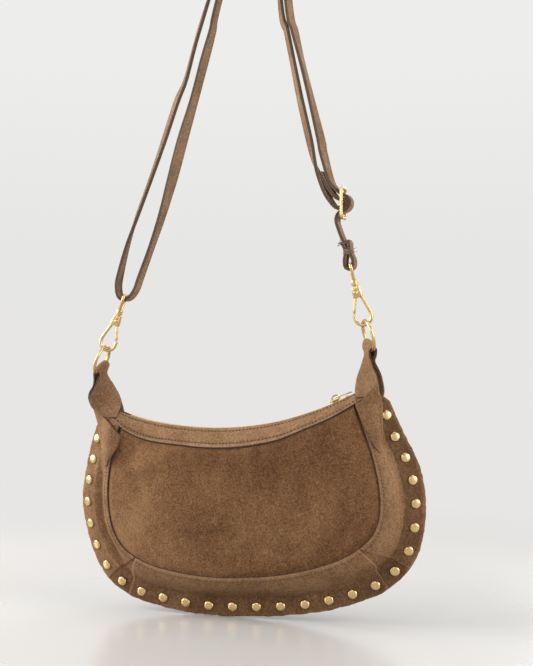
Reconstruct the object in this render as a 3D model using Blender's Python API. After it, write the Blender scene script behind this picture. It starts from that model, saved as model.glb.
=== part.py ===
"""Suede shoulder bag with a studded flange, hung by its long strap. Metres, +Z up.

The origin is the point under the strap's highest bend, where a hook or a shoulder carries it.
The bag's front faces -Y, and its left and right are those of someone looking at that front.
"""

import math

import bmesh
import bpy
import numpy as np
from mathutils import Matrix, Vector

# How the bag hangs
STRAP_DROP = 0.602
APEX_OFFSET = 0.017
BAG_TILT = math.radians(5.3)
RING_HEIGHT = 0.1548

# Bag body: panel, puffed band and flange, from the middle outwards
HALF_WIDTH = 0.172
BODY_DROP = 0.1106
SIDE_FLANGE = 0.0165
SIDE_BAND = 0.022
BOTTOM_FLANGE = 0.0176
BOTTOM_BAND = 0.0249
ROOT_HALF_WIDTH = HALF_WIDTH - SIDE_FLANGE
ROOT_DROP = BODY_DROP - BOTTOM_FLANGE
PANEL_HALF_WIDTH = ROOT_HALF_WIDTH - SIDE_BAND
PANEL_DROP = ROOT_DROP - BOTTOM_BAND
LEATHER = 0.0016
SEAM_GAP = 0.0003
PANEL_GAP = 0.0005
BOTTOM_DEPTH = 0.024
SIDE_DEPTH = 0.016
CORNER_DEPTH = 0.013
TOP_DEPTH = 0.023
PANEL_CROWN = 0.006
FLANGE_SWEEP = 0.008

# Top opening: the panel's upper seam and the zip are two arcs
TOP_SEAM_HEIGHT = 0.0545
TOP_SEAM_RADIUS = 0.254
ZIP_HEIGHT = 0.0698
ZIP_RADIUS = 0.305
CORNER_INSET = 0.017
EAR_WIDTH = 0.0165
EAR_DROP = 0.001
ROOT_CORNER_RISE = 0.0092
CORNER_X = PANEL_HALF_WIDTH - CORNER_INSET
EAR_X = CORNER_X + EAR_WIDTH
ZIP_EDGE_DEPTH = 0.0036
PLACKET_GAP = 0.0005

# Zip
ZIP_END_INSET = 0.0065
ZIP_HALF_LENGTH = CORNER_X - ZIP_END_INSET
TAPE_THICKNESS = 0.0008
TEETH_WIDTH = 0.0017
TEETH_RISE = 0.0012
TEETH_DROP = 0.0010
CHAIN_HALF_GAP = 0.0005
SLIDER_INSET = 0.013
SLIDER_X = ZIP_HALF_LENGTH - SLIDER_INSET
SLIDER_LENGTH = 0.010
SLIDER_WIDTH = 0.008
SLIDER_PLATE = 0.0014
SLIDER_BRIDGE = 0.0032
KEEL_THICKNESS = 0.0005
PULL_LENGTH = 0.015
PULL_WIDTH = 0.0052
PULL_THICKNESS = 0.0012
PULL_BAR = 0.0010
PULL_DROOP = math.radians(4)
BRIDGE_WIRE = 0.0007
RUN_GAP = 0.0003

# Rivets
RIVET_COUNT = 27
RIVET_INSET = 0.0088
RIVET_CAP_RADIUS = 0.0046
RIVET_CAP_HEIGHT = 0.0023
RIVET_BACK_RADIUS = 0.0036
RIVET_BACK_HEIGHT = 0.0011
RIVET_POST_RADIUS = 0.0010
RIVET_HOLE_RADIUS = 0.0013

# Lining
LINING_THICKNESS = 0.0006
LINING_INSET = 0.004
LINING_HALF_LENGTH = ZIP_HALF_LENGTH - LINING_INSET
LINING_DROP = 0.058
LINING_HALF_DEPTH = 0.014

# Tabs and rings
TAB_THICKNESS = 0.0016
TAB_HALF_WIDTH = 0.0145
TAB_INSET = {"left": -0.0015, "right": 0.0025}
RING_INSET = 0.0017
RING_SPAN_HALF = EAR_X - RING_INSET
RING_RADIUS = 0.014
RING_WIRE = 0.0016
RING_LEAN = {"left": math.radians(27), "right": math.radians(12)}
RING_TURN = {"left": math.radians(-2), "right": math.radians(28)}
HOOK_CLEARANCE = 0.0007

# Snap hooks, measured up from the wire's centre at the bottom of the hook
HOOK_TILT = {"left": math.radians(22), "right": math.radians(-14.5)}
HOOK_WIRE = 0.0015
HOOK_ARC = 0.008
HEAD_BOTTOM = 0.0260
HEAD_TOP = 0.035
HEAD_HALF_WIDTH = 0.0045
HEAD_HALF_DEPTH = 0.0029
SLOT_HALF_DEPTH = 0.0017
STEM_RADIUS = 0.0015
STEM_TOP = 0.0405
BARREL_BOTTOM = 0.0373
BARREL_TOP = 0.0425
BARREL_RADIUS = 0.0033
EYE_TOP = 0.0575
EYE_HALF_WIDTH = 0.0081
EYE_WIRE = 0.0015
PIVOT_X = 0.0012
PIVOT_HEIGHT = 0.031
GATE_LENGTH = 0.0195
GATE_WIRE = 0.0013
GATE_EYE_RADIUS = 0.0022
GATE_EYE_HALF_DEPTH = 0.0013
PIN_RADIUS = 0.0007
PIN_CLEARANCE = 0.00025
PIN_HEAD_RADIUS = 0.0018
PIN_HEAD_HEIGHT = 0.0005

# Strap and its buckle
STRAP_WIDTH = 0.012
STRAP_THICKNESS = 0.0034
HANG_RADIUS = 0.008
BUCKLE_RISE = 0.0571
BUCKLE_SHIFT = -0.0063
BUCKLE_HALF_HEIGHT = 0.0138
BUCKLE_HALF_WIDTH = 0.0082
BUCKLE_WIRE = 0.0016
STRAP_CLEARANCE = 0.0003

CUT_OVERRUN = 0.004

# Half outlines from the bottom centre to the top corner, as shares of half width and drop
EDGE_SHARES = [
    (0.0, -1.0), (0.174, -0.995), (0.349, -0.970), (0.523, -0.919), (0.692, -0.845), (0.820, -0.723),
    (0.907, -0.552), (0.965, -0.344), (0.997, -0.118), (1.0, 0.109), (0.974, 0.307), (0.933, 0.485),
    (0.863, 0.738),
]
ROOT_SHARES = [
    (0.0, -1.0), (0.180, -0.995), (0.360, -0.968), (0.534, -0.914), (0.695, -0.833), (0.823, -0.710),
    (0.910, -0.538), (0.965, -0.333), (0.997, -0.108), (1.0, 0.108), (0.977, 0.333), (0.932, 0.570),
    (0.875, 0.989),
]
PANEL_SHARES = [
    (0.0, -1.0), (0.165, -0.996), (0.330, -0.969), (0.494, -0.918), (0.652, -0.844), (0.794, -0.720),
    (0.899, -0.558), (0.966, -0.352), (0.996, -0.117), (1.0, 0.147), (0.985, 0.426), (0.951, 0.734),
    (0.873, 1.213),
]
INSERT_APEX_SHARE = 0.433
INSERT_BASE_SHARES = (0.367, 0.4625)
INSERT_TIP_SHARE = 0.004
JOIN_SHARE = 0.0008

# How the filled bag sags away from an even shape: (s, sideways, upwards), as shares of half width
SAG_SHARES = [
    (-1.0, -0.006, -0.009), (-0.75, 0.0, -0.004), (-0.5, 0.0, 0.0), (-0.37, -0.002, 0.024),
    (-0.2, 0.006, 0.013), (0.0, 0.010, 0.005), (0.2, 0.010, -0.004), (0.4, 0.007, 0.001),
    (0.54, 0.002, -0.018), (0.7, -0.014, -0.010), (0.85, -0.026, 0.0), (1.0, -0.035, 0.006),
]
EDGE_CORNER_SHARE = 0.5
ROOT_SAG_SHARE = 0.8
PANEL_SAG_SHARE = 0.4
RIVET_END_SHARE = 0.958
RIVET_PITCH_SHARE = 0.065
PUFF_ANGLES = [0, 30, 60, 90]

# Free runs of the strap from the top down, as shares of the way to the left eye or to the buckle
INNER_LEFT_SHARES = [
    (0.317, 0.315), (0.357, 0.377), (0.416, 0.447), (0.492, 0.540), (0.576, 0.633), (0.653, 0.727),
    (0.727, 0.810), (0.802, 0.881),
]
OUTER_LEFT_SHARES = [
    (0.400, 0.320), (0.485, 0.410), (0.554, 0.491), (0.616, 0.538), (0.712, 0.631), (0.814, 0.725),
    (0.910, 0.808), (0.986, 0.880),
]
INNER_RIGHT_SHARES = [
    (0.226, 0.412), (0.301, 0.492), (0.376, 0.580), (0.475, 0.698), (0.586, 0.815), (0.642, 0.874),
]
OUTER_RIGHT_SHARES = [
    (0.327, 0.414), (0.400, 0.494), (0.488, 0.582), (0.611, 0.700), (0.728, 0.817),
]

# Bends of the strap near its fittings, as shares of the strap's width about the bar it goes round
LEFT_LOOP_SHARES = [
    (1.30, 1.42), (0.98, 0.55), (0.52, -0.10), (0.0, -0.34), (-0.45, -0.10), (-0.62, 0.50), (-0.55, 1.40),
]
RIGHT_TAIL_SHARES = [
    (-0.02, 1.78), (0.03, 1.33), (0.05, 1.0), (0.17, 0.70), (0.30, 0.42), (0.335, 0.12),
]
RIGHT_LOOP_SHARES = [(0.25, -0.23), (0.0, -0.34), (-0.25, -0.23)]
RIGHT_END_SHARES = [
    (-0.335, 0.12), (-0.33, 0.42), (-0.28, 0.70), (-0.28, 1.0), (-0.36, 1.33), (-0.60, 1.72),
]
BAR_END_SHARES = [(-0.45, 0.40), (-0.95, 0.98), (-1.42, 1.80), (-1.75, 2.45)]
BAR_ENTRY_SHARES = [(-0.50, -0.34), (-1.02, 0.24), (-1.43, 1.0), (-1.99, 2.30)]
PASS_ENTRY_SHARES = [(-1.62, 4.0), (-1.02, 1.85), (-0.55, 1.12), (-0.14, 0.76)]
PASS_EXIT_SHARES = [(-0.28, -0.77), (-0.46, -1.15), (-0.42, -1.62), (0.10, -2.95)]

# The folded tab from its foot to its head: rise, half gap and half width, and how far it has turned
TAB_RISE_SHARES = [0.0, 0.12, 0.25, 0.42, 0.60, 0.80, 0.93]
TAB_GAP_SHARES = [0.735, 0.53, 0.37, 0.26, 0.17, 0.08, 0.13]
TAB_WIDTH_SHARES = [0.50, 0.84, 0.98, 1.02, 0.92, 0.56, 0.36]
TAB_TURN_SHARES = [0.0, 0.04, 0.12, 0.28, 0.52, 0.85, 1.0]
TAB_STRIP_SHARES = [-1.0, -0.4, 0.4, 1.0]
HEAD_RISE_SHARE = 1.45

# Width of the snap's head from its lower end to its upper end
HEAD_WIDTH_SHARES = [0.86, 1.0, 0.82, 0.60]

SUEDE = ((0.205, 0.112, 0.062), 0.95, 0.0)
STRAP_SUEDE = ((0.170, 0.098, 0.058), 0.95, 0.0)
GOLD = ((0.83, 0.62, 0.27), 0.22, 1.0)
TAPE = ((0.16, 0.10, 0.06), 0.9, 0.0)
LINING = ((0.30, 0.22, 0.16), 0.9, 0.0)


def clear_scene():
    for obj in list(bpy.data.objects):
        bpy.data.objects.remove(obj, do_unlink=True)


def material(name, finish):
    found = bpy.data.materials.get(name)
    if found:
        return found
    made = bpy.data.materials.new(name)
    made.use_nodes = True
    shader = made.node_tree.nodes["Principled BSDF"]
    colour, roughness, metallic = finish
    shader.inputs["Base Color"].default_value = (*colour, 1.0)
    shader.inputs["Roughness"].default_value = roughness
    shader.inputs["Metallic"].default_value = metallic
    return made


def empty(name, parent=None, location=(0, 0, 0), rotation=(0, 0, 0)):
    made = bpy.data.objects.new(name, None)
    bpy.context.scene.collection.objects.link(made)
    made.parent = parent
    made.location = location
    made.rotation_euler = rotation
    return made


def solid(name, points, faces, finish, parent=None):
    """One object from points and faces, with doubled points joined and its faces turned outwards."""
    mesh = bpy.data.meshes.new(name)
    shape = bmesh.new()
    corners = [shape.verts.new(tuple(point)) for point in points]
    for face in faces:
        shape.faces.new([corners[i] for i in face])
    bmesh.ops.remove_doubles(shape, verts=shape.verts, dist=1e-7)
    bmesh.ops.recalc_face_normals(shape, faces=shape.faces)
    if shape.calc_volume(signed=True) < 0:
        bmesh.ops.reverse_faces(shape, faces=shape.faces)
    shape.to_mesh(mesh)
    shape.free()
    made = bpy.data.objects.new(name, mesh)
    bpy.context.scene.collection.objects.link(made)
    made.parent = parent
    if finish:
        mesh.materials.append(material(*finish))
        mesh.shade_smooth()
        mesh.set_sharp_from_angle(angle=math.radians(40))
    return made


def combine(target, other, operation):
    """Keeps the other object as a hidden helper of a Boolean on the target."""
    other.hide_render = True
    other.display_type = "WIRE"
    change = target.modifiers.new(other.name, "BOOLEAN")
    change.operation = operation
    change.object = other


def slab(name, outer, inner, finish, parent):
    """A sheet between two grids of points, closed round its rim."""
    rows, columns = len(outer), len(outer[0])
    points = [point for grid in (outer, inner) for row in grid for point in row]
    half = rows * columns
    faces = []
    for i in range(rows - 1):
        for j in range(columns - 1):
            corner = i * columns + j
            above = corner + columns
            for face in ([corner, corner + 1, above + 1], [corner, above + 1, above]):
                faces.append(face)
                faces.append([half + k for k in reversed(face)])
    rim = [j for j in range(columns)]
    rim += [i * columns + columns - 1 for i in range(1, rows)]
    rim += [(rows - 1) * columns + j for j in range(columns - 2, -1, -1)]
    rim += [i * columns for i in range(rows - 2, 0, -1)]
    for a, b in zip(rim, rim[1:] + rim[:1]):
        faces.append([a, half + a, half + b, b])
    return solid(name, points, faces, finish, parent)


def loft(name, sections, finish, parent, closed=False):
    """Joins closed sections of equal length, capped at both ends unless it closes on itself."""
    count = len(sections[0])
    points = [point for section in sections for point in section]
    faces = []
    steps = len(sections) if closed else len(sections) - 1
    for i in range(steps):
        here, after = i * count, ((i + 1) % len(sections)) * count
        for j in range(count):
            k = (j + 1) % count
            faces.append([here + j, here + k, after + k, after + j])
    if not closed:
        faces.append(list(range(count)))
        faces.append([(len(sections) - 1) * count + j for j in range(count)])
    return solid(name, points, faces, finish, parent)


def lathe(name, profile, sides, finish, parent):
    """Turns (radius, height) points about local Z; its ends lie on the axis."""
    points = [(0, 0, profile[0][1])]
    for radius, height in profile[1:-1]:
        for k in range(sides):
            angle = 2 * math.pi * k / sides
            points.append((radius * math.cos(angle), radius * math.sin(angle), height))
    points.append((0, 0, profile[-1][1]))
    faces = []
    rings = len(profile) - 2
    for k in range(sides):
        after = (k + 1) % sides
        faces.append([0, 1 + k, 1 + after])
        for ring in range(rings - 1):
            low, high = 1 + ring * sides, 1 + (ring + 1) * sides
            faces.append([low + k, high + k, high + after, low + after])
        last = 1 + (rings - 1) * sides
        faces.append([last + after, last + k, len(points) - 1])
    return solid(name, points, faces, finish, parent)


def tube(name, path, radius, sides, plane_normal, finish, parent, closed=False):
    """A round wire along a flat path."""
    across = Vector(plane_normal).normalized()
    sections = []
    for i, here in enumerate(path):
        before = path[i - 1] if closed or i else here
        after = path[(i + 1) % len(path)] if closed or i < len(path) - 1 else here
        along = (Vector(after) - Vector(before)).normalized()
        side = along.cross(across)
        ring = []
        for k in range(sides):
            angle = 2 * math.pi * (k + 0.5) / sides
            ring.append(Vector(here) + radius * (math.cos(angle) * side + math.sin(angle) * across))
        sections.append(ring)
    return loft(name, sections, finish, parent, closed)


def spline(points, t):
    """A smooth curve through the points, at t counted in points."""
    last = len(points) - 1
    i = min(int(t), last - 1)
    f = t - i
    p1, p2 = np.array(points[i]), np.array(points[i + 1])
    p0 = np.array(points[i - 1]) if i else 2 * p1 - p2
    p3 = np.array(points[i + 2]) if i + 2 <= last else 2 * p2 - p1
    square = (2 * p0 - 5 * p1 + 4 * p2 - p3) * f**2
    cube = (3 * p1 - p0 - 3 * p2 + p3) * f**3
    return 0.5 * (2 * p1 + (p2 - p0) * f + square + cube)


def mirrored(shares, width, drop):
    """The outline's points from the top left corner down and round to the top right one."""
    right = [(x * width, z * drop) for x, z in shares]
    return [(-x, z) for x, z in reversed(right[1:])] + right


def arc_height(x, lowest, radius):
    return lowest + radius - math.sqrt(radius**2 - x**2)


def top_seam(x):
    return arc_height(x, TOP_SEAM_HEIGHT, TOP_SEAM_RADIUS)


def zip_line(x):
    return arc_height(x, ZIP_HEIGHT, ZIP_RADIUS)


def eased(f):
    f = min(max(f, 0.0), 1.0)
    return f * f * (3 - 2 * f)


class Body:
    """The bag's outlines, at s from -1 (top left corner) through 0 (bottom) to 1 (top right)."""

    def __init__(self):
        self.edge = mirrored(EDGE_SHARES, HALF_WIDTH, BODY_DROP)
        self.root = mirrored(ROOT_SHARES, ROOT_HALF_WIDTH, ROOT_DROP)
        self.panel = mirrored(PANEL_SHARES, PANEL_HALF_WIDTH, PANEL_DROP)
        ear = top_seam(CORNER_X)
        for points, x, z in (
            (self.edge, self.edge[-1][0], ear - EAR_DROP),
            (self.root, self.root[-1][0], ear + ROOT_CORNER_RISE),
            (self.panel, CORNER_X, ear),
        ):
            points[0], points[-1] = (-x, z), (x, z)
        self.edge = self.sagged(self.edge, 1, EDGE_CORNER_SHARE)
        self.root = self.sagged(self.root, ROOT_SAG_SHARE, 0)
        self.panel = self.sagged(self.panel, PANEL_SAG_SHARE, 0)

    def sagged(self, points, share, corner_share):
        marks, across, upwards = zip(*SAG_SHARES)
        count = len(points) - 1
        moved = []
        for i, (x, z) in enumerate(points):
            s = 2 * i / count - 1
            hold = corner_share if i in (0, count) else share
            x += hold * HALF_WIDTH * np.interp(s, marks, across)
            z += hold * HALF_WIDTH * np.interp(s, marks, upwards)
            moved.append((x, z))
        return moved

    def at(self, points, s):
        return spline(points, (s + 1) * (len(points) - 1) / 2)

    def seam_depth(self, s):
        low = BOTTOM_DEPTH + (SIDE_DEPTH - BOTTOM_DEPTH) * eased(abs(s) / 0.6)
        return low + (CORNER_DEPTH - SIDE_DEPTH) * eased((abs(s) - 0.75) / 0.25)

    def sweep(self, s):
        """How far the flange's edge bends back at s."""
        return FLANGE_SWEEP * eased((abs(s) - 0.2) / 0.45) * (1 - 0.3 * eased((abs(s) - 0.8) / 0.2))

    def section(self, s, side, v):
        """(outer, inner) points of the band and flange; v runs 0..3 over the puff and 3..4 over the flange."""
        seam, root, edge = (self.at(points, s) for points in (self.panel, self.root, self.edge))
        away = (root - seam) / np.linalg.norm(root - seam)
        start = seam + away * PANEL_GAP
        flat = SEAM_GAP / 2 + LEATHER
        back = np.array([0.0, -side, 0.0])
        out = np.array([away[0], 0.0, away[1]])
        if v <= 3:
            angle = math.radians(PUFF_ANGLES[-1] * v / 3)
            plan = start + (root - start) * math.sin(angle)
            depth = flat + (self.seam_depth(s) - flat) * math.cos(angle)
            inwards = back * math.cos(angle) - out * math.sin(angle)
            if v == 3:
                inwards = back - out
            lift = 0.0
        else:
            plan = root + (edge - root) * (v - 3)
            depth = flat
            inwards = back
            lift = self.sweep(s) * (v - 3)
        outer = np.array([plan[0], side * depth + lift, plan[1]])
        return outer, outer + inwards * LEATHER


BODY = Body()


def band_piece(name, left, right, columns, side, finish, parent):
    """A piece of band and flange between two joins; each join is (s at the panel's seam, s at the edge)."""
    rows = [0, 1, 2, 3, 3.5, 4]
    outer, inner = [], []
    for v in rows:
        low = left[0] + (left[1] - left[0]) * v / 4 + JOIN_SHARE
        high = right[0] + (right[1] - right[0]) * v / 4 - JOIN_SHARE
        pairs = [BODY.section(low + (high - low) * k / columns, side, v) for k in range(columns + 1)]
        outer.append([pair[0] for pair in pairs])
        inner.append([pair[1] for pair in pairs])
    return slab(name, outer, inner, finish, parent)


def panel(name, side, finish, parent):
    """The oval middle panel, between the upper seam and the band's seam."""
    columns, rows = 22, 6
    grid = []
    for r in range(rows + 1):
        t = r / rows
        row = []
        for c in range(columns + 1):
            s = -1 + 2 * c / columns
            low = BODY.at(BODY.panel, s)
            high_x = CORNER_X * math.copysign(abs(s) ** 0.9, s)
            high = np.array([high_x, top_seam(high_x)])
            plan = high + (low - high) * t
            rim = placket_depth(high_x) * (1 - t) + BODY.seam_depth(s) * t
            crown = PANEL_CROWN * math.sin(math.pi * t) * (1 - s * s)
            row.append(np.array([plan[0], side * (rim + crown), plan[1]]))
        grid.append(row)
    back = np.array([0.0, -side * LEATHER, 0.0])
    inner = [[point + back for point in row] for row in grid]
    return slab(name, grid, inner, finish, parent)


def placket_depth(x):
    """Depth of the upper seam: deepest in the middle, down to the panel's corner."""
    return TOP_DEPTH + (CORNER_DEPTH - TOP_DEPTH) * eased(abs(x) / CORNER_X)


def placket_low(x, side):
    """(point, inward direction) on the placket's lower edge, which follows the band's end at the ears."""
    back = np.array([0.0, -side, 0.0])
    if abs(x) <= CORNER_X:
        return np.array([x, side * placket_depth(x), top_seam(x) + PLACKET_GAP]), back
    seam, root = np.array(BODY.panel[-1]), np.array(BODY.root[-1])
    away = (root - seam) / np.linalg.norm(root - seam)
    sine = min((abs(x) - seam[0]) / (root[0] - seam[0]), 1.0)
    cosine = math.sqrt(1 - sine**2)
    flat = SEAM_GAP / 2 + LEATHER
    deep = flat + (CORNER_DEPTH - flat) * cosine
    high = seam[1] + (root[1] - seam[1]) * sine + PLACKET_GAP
    point = np.array([x, side * deep, high])
    out = np.array([math.copysign(away[0], x), 0.0, away[1]])
    return point, back * cosine - out * sine


def placket_point(x, w, side, inset):
    """A point on the placket, w from lower edge 0 to zip 1, inset below its outer face."""
    low, inwards = placket_low(x, side)
    high = np.array([x, side * ZIP_EDGE_DEPTH, zip_line(x)])
    along = high - low
    normal = np.array([0.0, -side * along[2], side * along[1]])
    normal /= np.linalg.norm(normal)
    direction = inwards if w == 0 else normal
    return low + along * w + direction * inset


def placket(name, side, finish, parent):
    stations = [EAR_X * share for share in (-1, -0.95, -0.876, -0.8, -0.7, -0.6, -0.5, -0.4, -0.3, -0.2, -0.1, 0)]
    stations += [-x for x in reversed(stations[:-1])]
    shares = [0, 0.3, 0.65, 1]
    outer = [[placket_point(x, w, side, 0.0) for x in stations] for w in shares]
    inner = [[placket_point(x, w, side, LEATHER) for x in stations] for w in shares]
    return slab(name, outer, inner, finish, parent)


def zip_chain(name, side, finish, parent):
    """Half the zip: tape inside the placket, turning up into the row of teeth."""
    near = LEATHER + RUN_GAP
    far = near + TAPE_THICKNESS
    sections = []
    steps = 20
    inner_y = side * CHAIN_HALF_GAP
    outer_y = side * (CHAIN_HALF_GAP + TEETH_WIDTH)
    for k in range(steps + 1):
        x = ZIP_HALF_LENGTH * (2 * k / steps - 1)
        top = zip_line(x)
        section = [placket_point(x, w, side, near) for w in (0.5, 0.75, 0.95)]
        section += [
            np.array([x, outer_y, top - TEETH_DROP]),
            np.array([x, outer_y, top + TEETH_RISE]),
            np.array([x, inner_y, top + TEETH_RISE]),
            np.array([x, inner_y, top - TEETH_DROP - TAPE_THICKNESS]),
        ]
        section += [placket_point(x, w, side, far) for w in (0.95, 0.75, 0.5)]
        sections.append(section)
    return loft(name, sections, finish, parent)


def lining(finish, parent):
    """An open fabric pouch whose mouth lies against the zip tapes."""
    hang = LEATHER + 2 * RUN_GAP + TAPE_THICKNESS
    outer, inner = [], []
    steps = 16
    for k in range(steps + 1):
        share = 2 * k / steps - 1
        x = LINING_HALF_LENGTH * share
        room = math.sqrt(max(1 - share**4, 0.0))
        mouth = [placket_point(x, w, -1, hang) for w in (0.72, 0.5)]
        low = mouth[1][2] - (mouth[1][2] + LINING_DROP) * room - LEATHER
        deep = LINING_HALF_DEPTH * (0.35 + 0.65 * room)
        rise = mouth[1][2] - low
        half = [(-deep, low + rise * 0.45), (-0.75 * deep, low + rise * 0.12)]
        outline = [(p[1], p[2]) for p in mouth] + half + [(0.0, low)]
        outline += [(-y, z) for y, z in reversed(outline[:-1])]
        outer.append([np.array([x, y, z]) for y, z in outline])
        sheet = []
        for j, (y, z) in enumerate(outline):
            before, after = outline[max(j - 1, 0)], outline[min(j + 1, len(outline) - 1)]
            run = np.array([after[0] - before[0], after[1] - before[1]])
            run /= np.linalg.norm(run)
            sheet.append(np.array([x, y - run[1] * LINING_THICKNESS, z + run[0] * LINING_THICKNESS]))
        inner.append(sheet)
    return slab("lining", outer, inner, finish, parent)


def rivet_frames():
    """Place and axis of each rivet, spaced a little wider along the bottom than up the sides."""
    samples = 400
    marks = np.linspace(-RIVET_END_SHARE, RIVET_END_SHARE, samples)
    line = []
    for s in marks:
        root, edge = BODY.at(BODY.root, s), BODY.at(BODY.edge, s)
        width = math.hypot(np.linalg.norm(edge - root), BODY.sweep(s))
        share = 1 - RIVET_INSET / width
        plan = root + (edge - root) * share
        line.append(np.array([plan[0], BODY.sweep(s) * share, plan[1]]))
    run = np.concatenate([[0.0], np.cumsum([np.linalg.norm(b - a) for a, b in zip(line, line[1:])])])
    frames = []
    for k in range(RIVET_COUNT):
        turn = math.pi * (2 * k / (RIVET_COUNT - 1) - 1)
        share = (turn + RIVET_PITCH_SHARE * math.sin(turn)) / math.pi
        s = np.interp(run[-1] * (share + 1) / 2, run, marks)
        point = np.array([np.interp(s, marks, [p[axis] for p in line]) for axis in range(3)])
        root, edge = BODY.at(BODY.root, s), BODY.at(BODY.edge, s)
        across = Vector((edge[0] - root[0], BODY.sweep(s), edge[1] - root[1])).normalized()
        step = 1e-3
        ahead, behind = (
            Vector((*BODY.at(BODY.edge, min(max(s + d, -1), 1)), BODY.sweep(s + d))) for d in (step, -step)
        )
        run_on = Vector((ahead[0] - behind[0], ahead[2] - behind[2], ahead[1] - behind[1])).normalized()
        axis = across.cross(run_on)
        if axis.y > 0:
            axis = -axis
        frames.append((Vector(point), axis.normalized()))
    return frames


def add_rivets(parent, leather_pieces):
    seat = LEATHER + SEAM_GAP / 2 + RUN_GAP
    profile = [
        (0, seat + RIVET_CAP_HEIGHT),
        (RIVET_CAP_RADIUS * 0.55, seat + RIVET_CAP_HEIGHT * 0.85),
        (RIVET_CAP_RADIUS * 0.9, seat + RIVET_CAP_HEIGHT * 0.4),
        (RIVET_CAP_RADIUS, seat),
        (RIVET_POST_RADIUS, seat),
        (RIVET_POST_RADIUS, -seat),
        (RIVET_BACK_RADIUS, -seat),
        (RIVET_BACK_RADIUS * 0.85, -seat - RIVET_BACK_HEIGHT * 0.8),
        (0, -seat - RIVET_BACK_HEIGHT),
    ]
    holes = bmesh.new()
    for number, (point, axis) in enumerate(rivet_frames(), 1):
        turn = axis.to_track_quat("Z", "Y")
        rivet = lathe(f"rivet_{number:02d}", profile, 10, ("gold", GOLD), parent)
        rivet.location = point
        rivet.rotation_mode = "QUATERNION"
        rivet.rotation_quaternion = turn
        place = Matrix.Translation(point) @ turn.to_matrix().to_4x4()
        bmesh.ops.create_cone(
            holes, cap_ends=True, segments=8, radius1=RIVET_HOLE_RADIUS, radius2=RIVET_HOLE_RADIUS,
            depth=2 * (seat + CUT_OVERRUN), matrix=place,
        )
    mesh = bpy.data.meshes.new("rivet_holes")
    holes.to_mesh(mesh)
    holes.free()
    cutter = bpy.data.objects.new("rivet_holes", mesh)
    bpy.context.scene.collection.objects.link(cutter)
    cutter.parent = parent
    for piece in leather_pieces:
        combine(piece, cutter, "DIFFERENCE")


def zip_place(x):
    """A point on the zip's arc and the arc's slope there."""
    return Vector((x, 0, zip_line(x))), math.asin(x / ZIP_RADIUS)


def box(name, low, high, finish, parent):
    points = [(x, y, z) for x in (low[0], high[0]) for y in (low[1], high[1]) for z in (low[2], high[2])]
    faces = [[0, 1, 3, 2], [4, 6, 7, 5], [0, 4, 5, 1], [2, 3, 7, 6], [0, 2, 6, 4], [1, 5, 7, 3]]
    return solid(name, points, faces, finish, parent)


def add_zip_slider(frame):
    """Slider and pull. Both turn about empties: the slider's is the centre of the zip's arc."""
    hinge = empty("zip_slider_axis", frame, (0, 0, ZIP_HEIGHT + ZIP_RADIUS))
    point, slope = zip_place(SLIDER_X)
    seat = empty("zip_slider_seat", hinge, point - hinge.location, (0, -slope, 0))
    half_long, half_wide = SLIDER_LENGTH / 2, SLIDER_WIDTH / 2
    base = TEETH_RISE + RUN_GAP
    top = base + SLIDER_PLATE
    taper = 0.7
    outline = [(-half_long, taper * half_wide), (-taper * half_long, half_wide), (half_long, half_wide),
               (half_long, -half_wide), (-taper * half_long, -half_wide), (-half_long, -taper * half_wide)]
    plate = loft("zip_slider", [[(x, y, z) for x, y in outline] for z in (base, top)], ("gold", GOLD), seat)
    under = TEETH_DROP + TAPE_THICKNESS + 6 * RUN_GAP
    keel = box("slider_keel", (-half_long * taper, -KEEL_THICKNESS / 2, -under - SLIDER_PLATE / 2),
               (half_long * taper, KEEL_THICKNESS / 2, base + SLIDER_PLATE / 2), None, seat)
    foot = box("slider_foot", (-half_long * taper, -half_wide / 4, -under - SLIDER_PLATE),
               (half_long * taper, half_wide / 4, -under), None, seat)
    arch_top = top + SLIDER_BRIDGE
    arch = [(-half_long * 0.5, top - SLIDER_PLATE / 2), (-half_long * 0.35, arch_top - BRIDGE_WIRE),
            (0, arch_top), (half_long * 0.75, arch_top), (half_long * 0.95, arch_top - BRIDGE_WIRE),
            (half_long * 0.95, top - SLIDER_PLATE / 2)]
    bridge = tube("slider_bridge", [(x, 0, z) for x, z in arch], BRIDGE_WIRE, 6, (0, 1, 0), None, seat)
    for piece in (keel, foot, bridge):
        combine(plate, piece, "UNION")
    pivot_x = half_long * 0.6
    pivot_z = top + (SLIDER_BRIDGE - BRIDGE_WIRE) * 0.5
    pivot = empty("zip_pull_axis", seat, (pivot_x, 0, pivot_z), (0, PULL_DROOP, 0))
    window = PULL_WIDTH / 2 - PULL_THICKNESS
    add_pull(pivot, window)


def add_pull(pivot, window):
    """A flat tongue with a window round the slider's bridge."""
    half = PULL_WIDTH / 2
    end = PULL_LENGTH
    near = -PULL_BAR / 2
    outer = [(near, -half), (near, half), (0.7 * end, half), (end, 0.55 * half),
             (end, -0.55 * half), (0.7 * end, -half)]
    thick = PULL_THICKNESS / 2
    pull = loft("zip_pull", [[(x, y, z) for x, y in outer] for z in (-thick, thick)], ("gold", GOLD), pivot)
    cut_from = (PULL_BAR / 2, -window, -CUT_OVERRUN)
    cut_to = (0.38 * end, window, CUT_OVERRUN)
    cut = box("pull_window", cut_from, cut_to, None, pivot)
    combine(pull, cut, "DIFFERENCE")


def ring_frame(side_name):
    """Hinge point of a hook in the bag's frame, and the ring's own directions."""
    sign = -1 if side_name == "left" else 1
    hang = Vector((sign * RING_SPAN_HALF, 0, RING_HEIGHT))
    lean, turn = RING_LEAN[side_name], RING_TURN[side_name]
    up = Vector((-sign * math.sin(lean), 0, math.cos(lean)))
    flat = Vector((sign * math.sin(turn), -math.cos(turn), 0))
    near = (flat - up * flat.dot(up)).normalized()
    return hang, up, near


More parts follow.
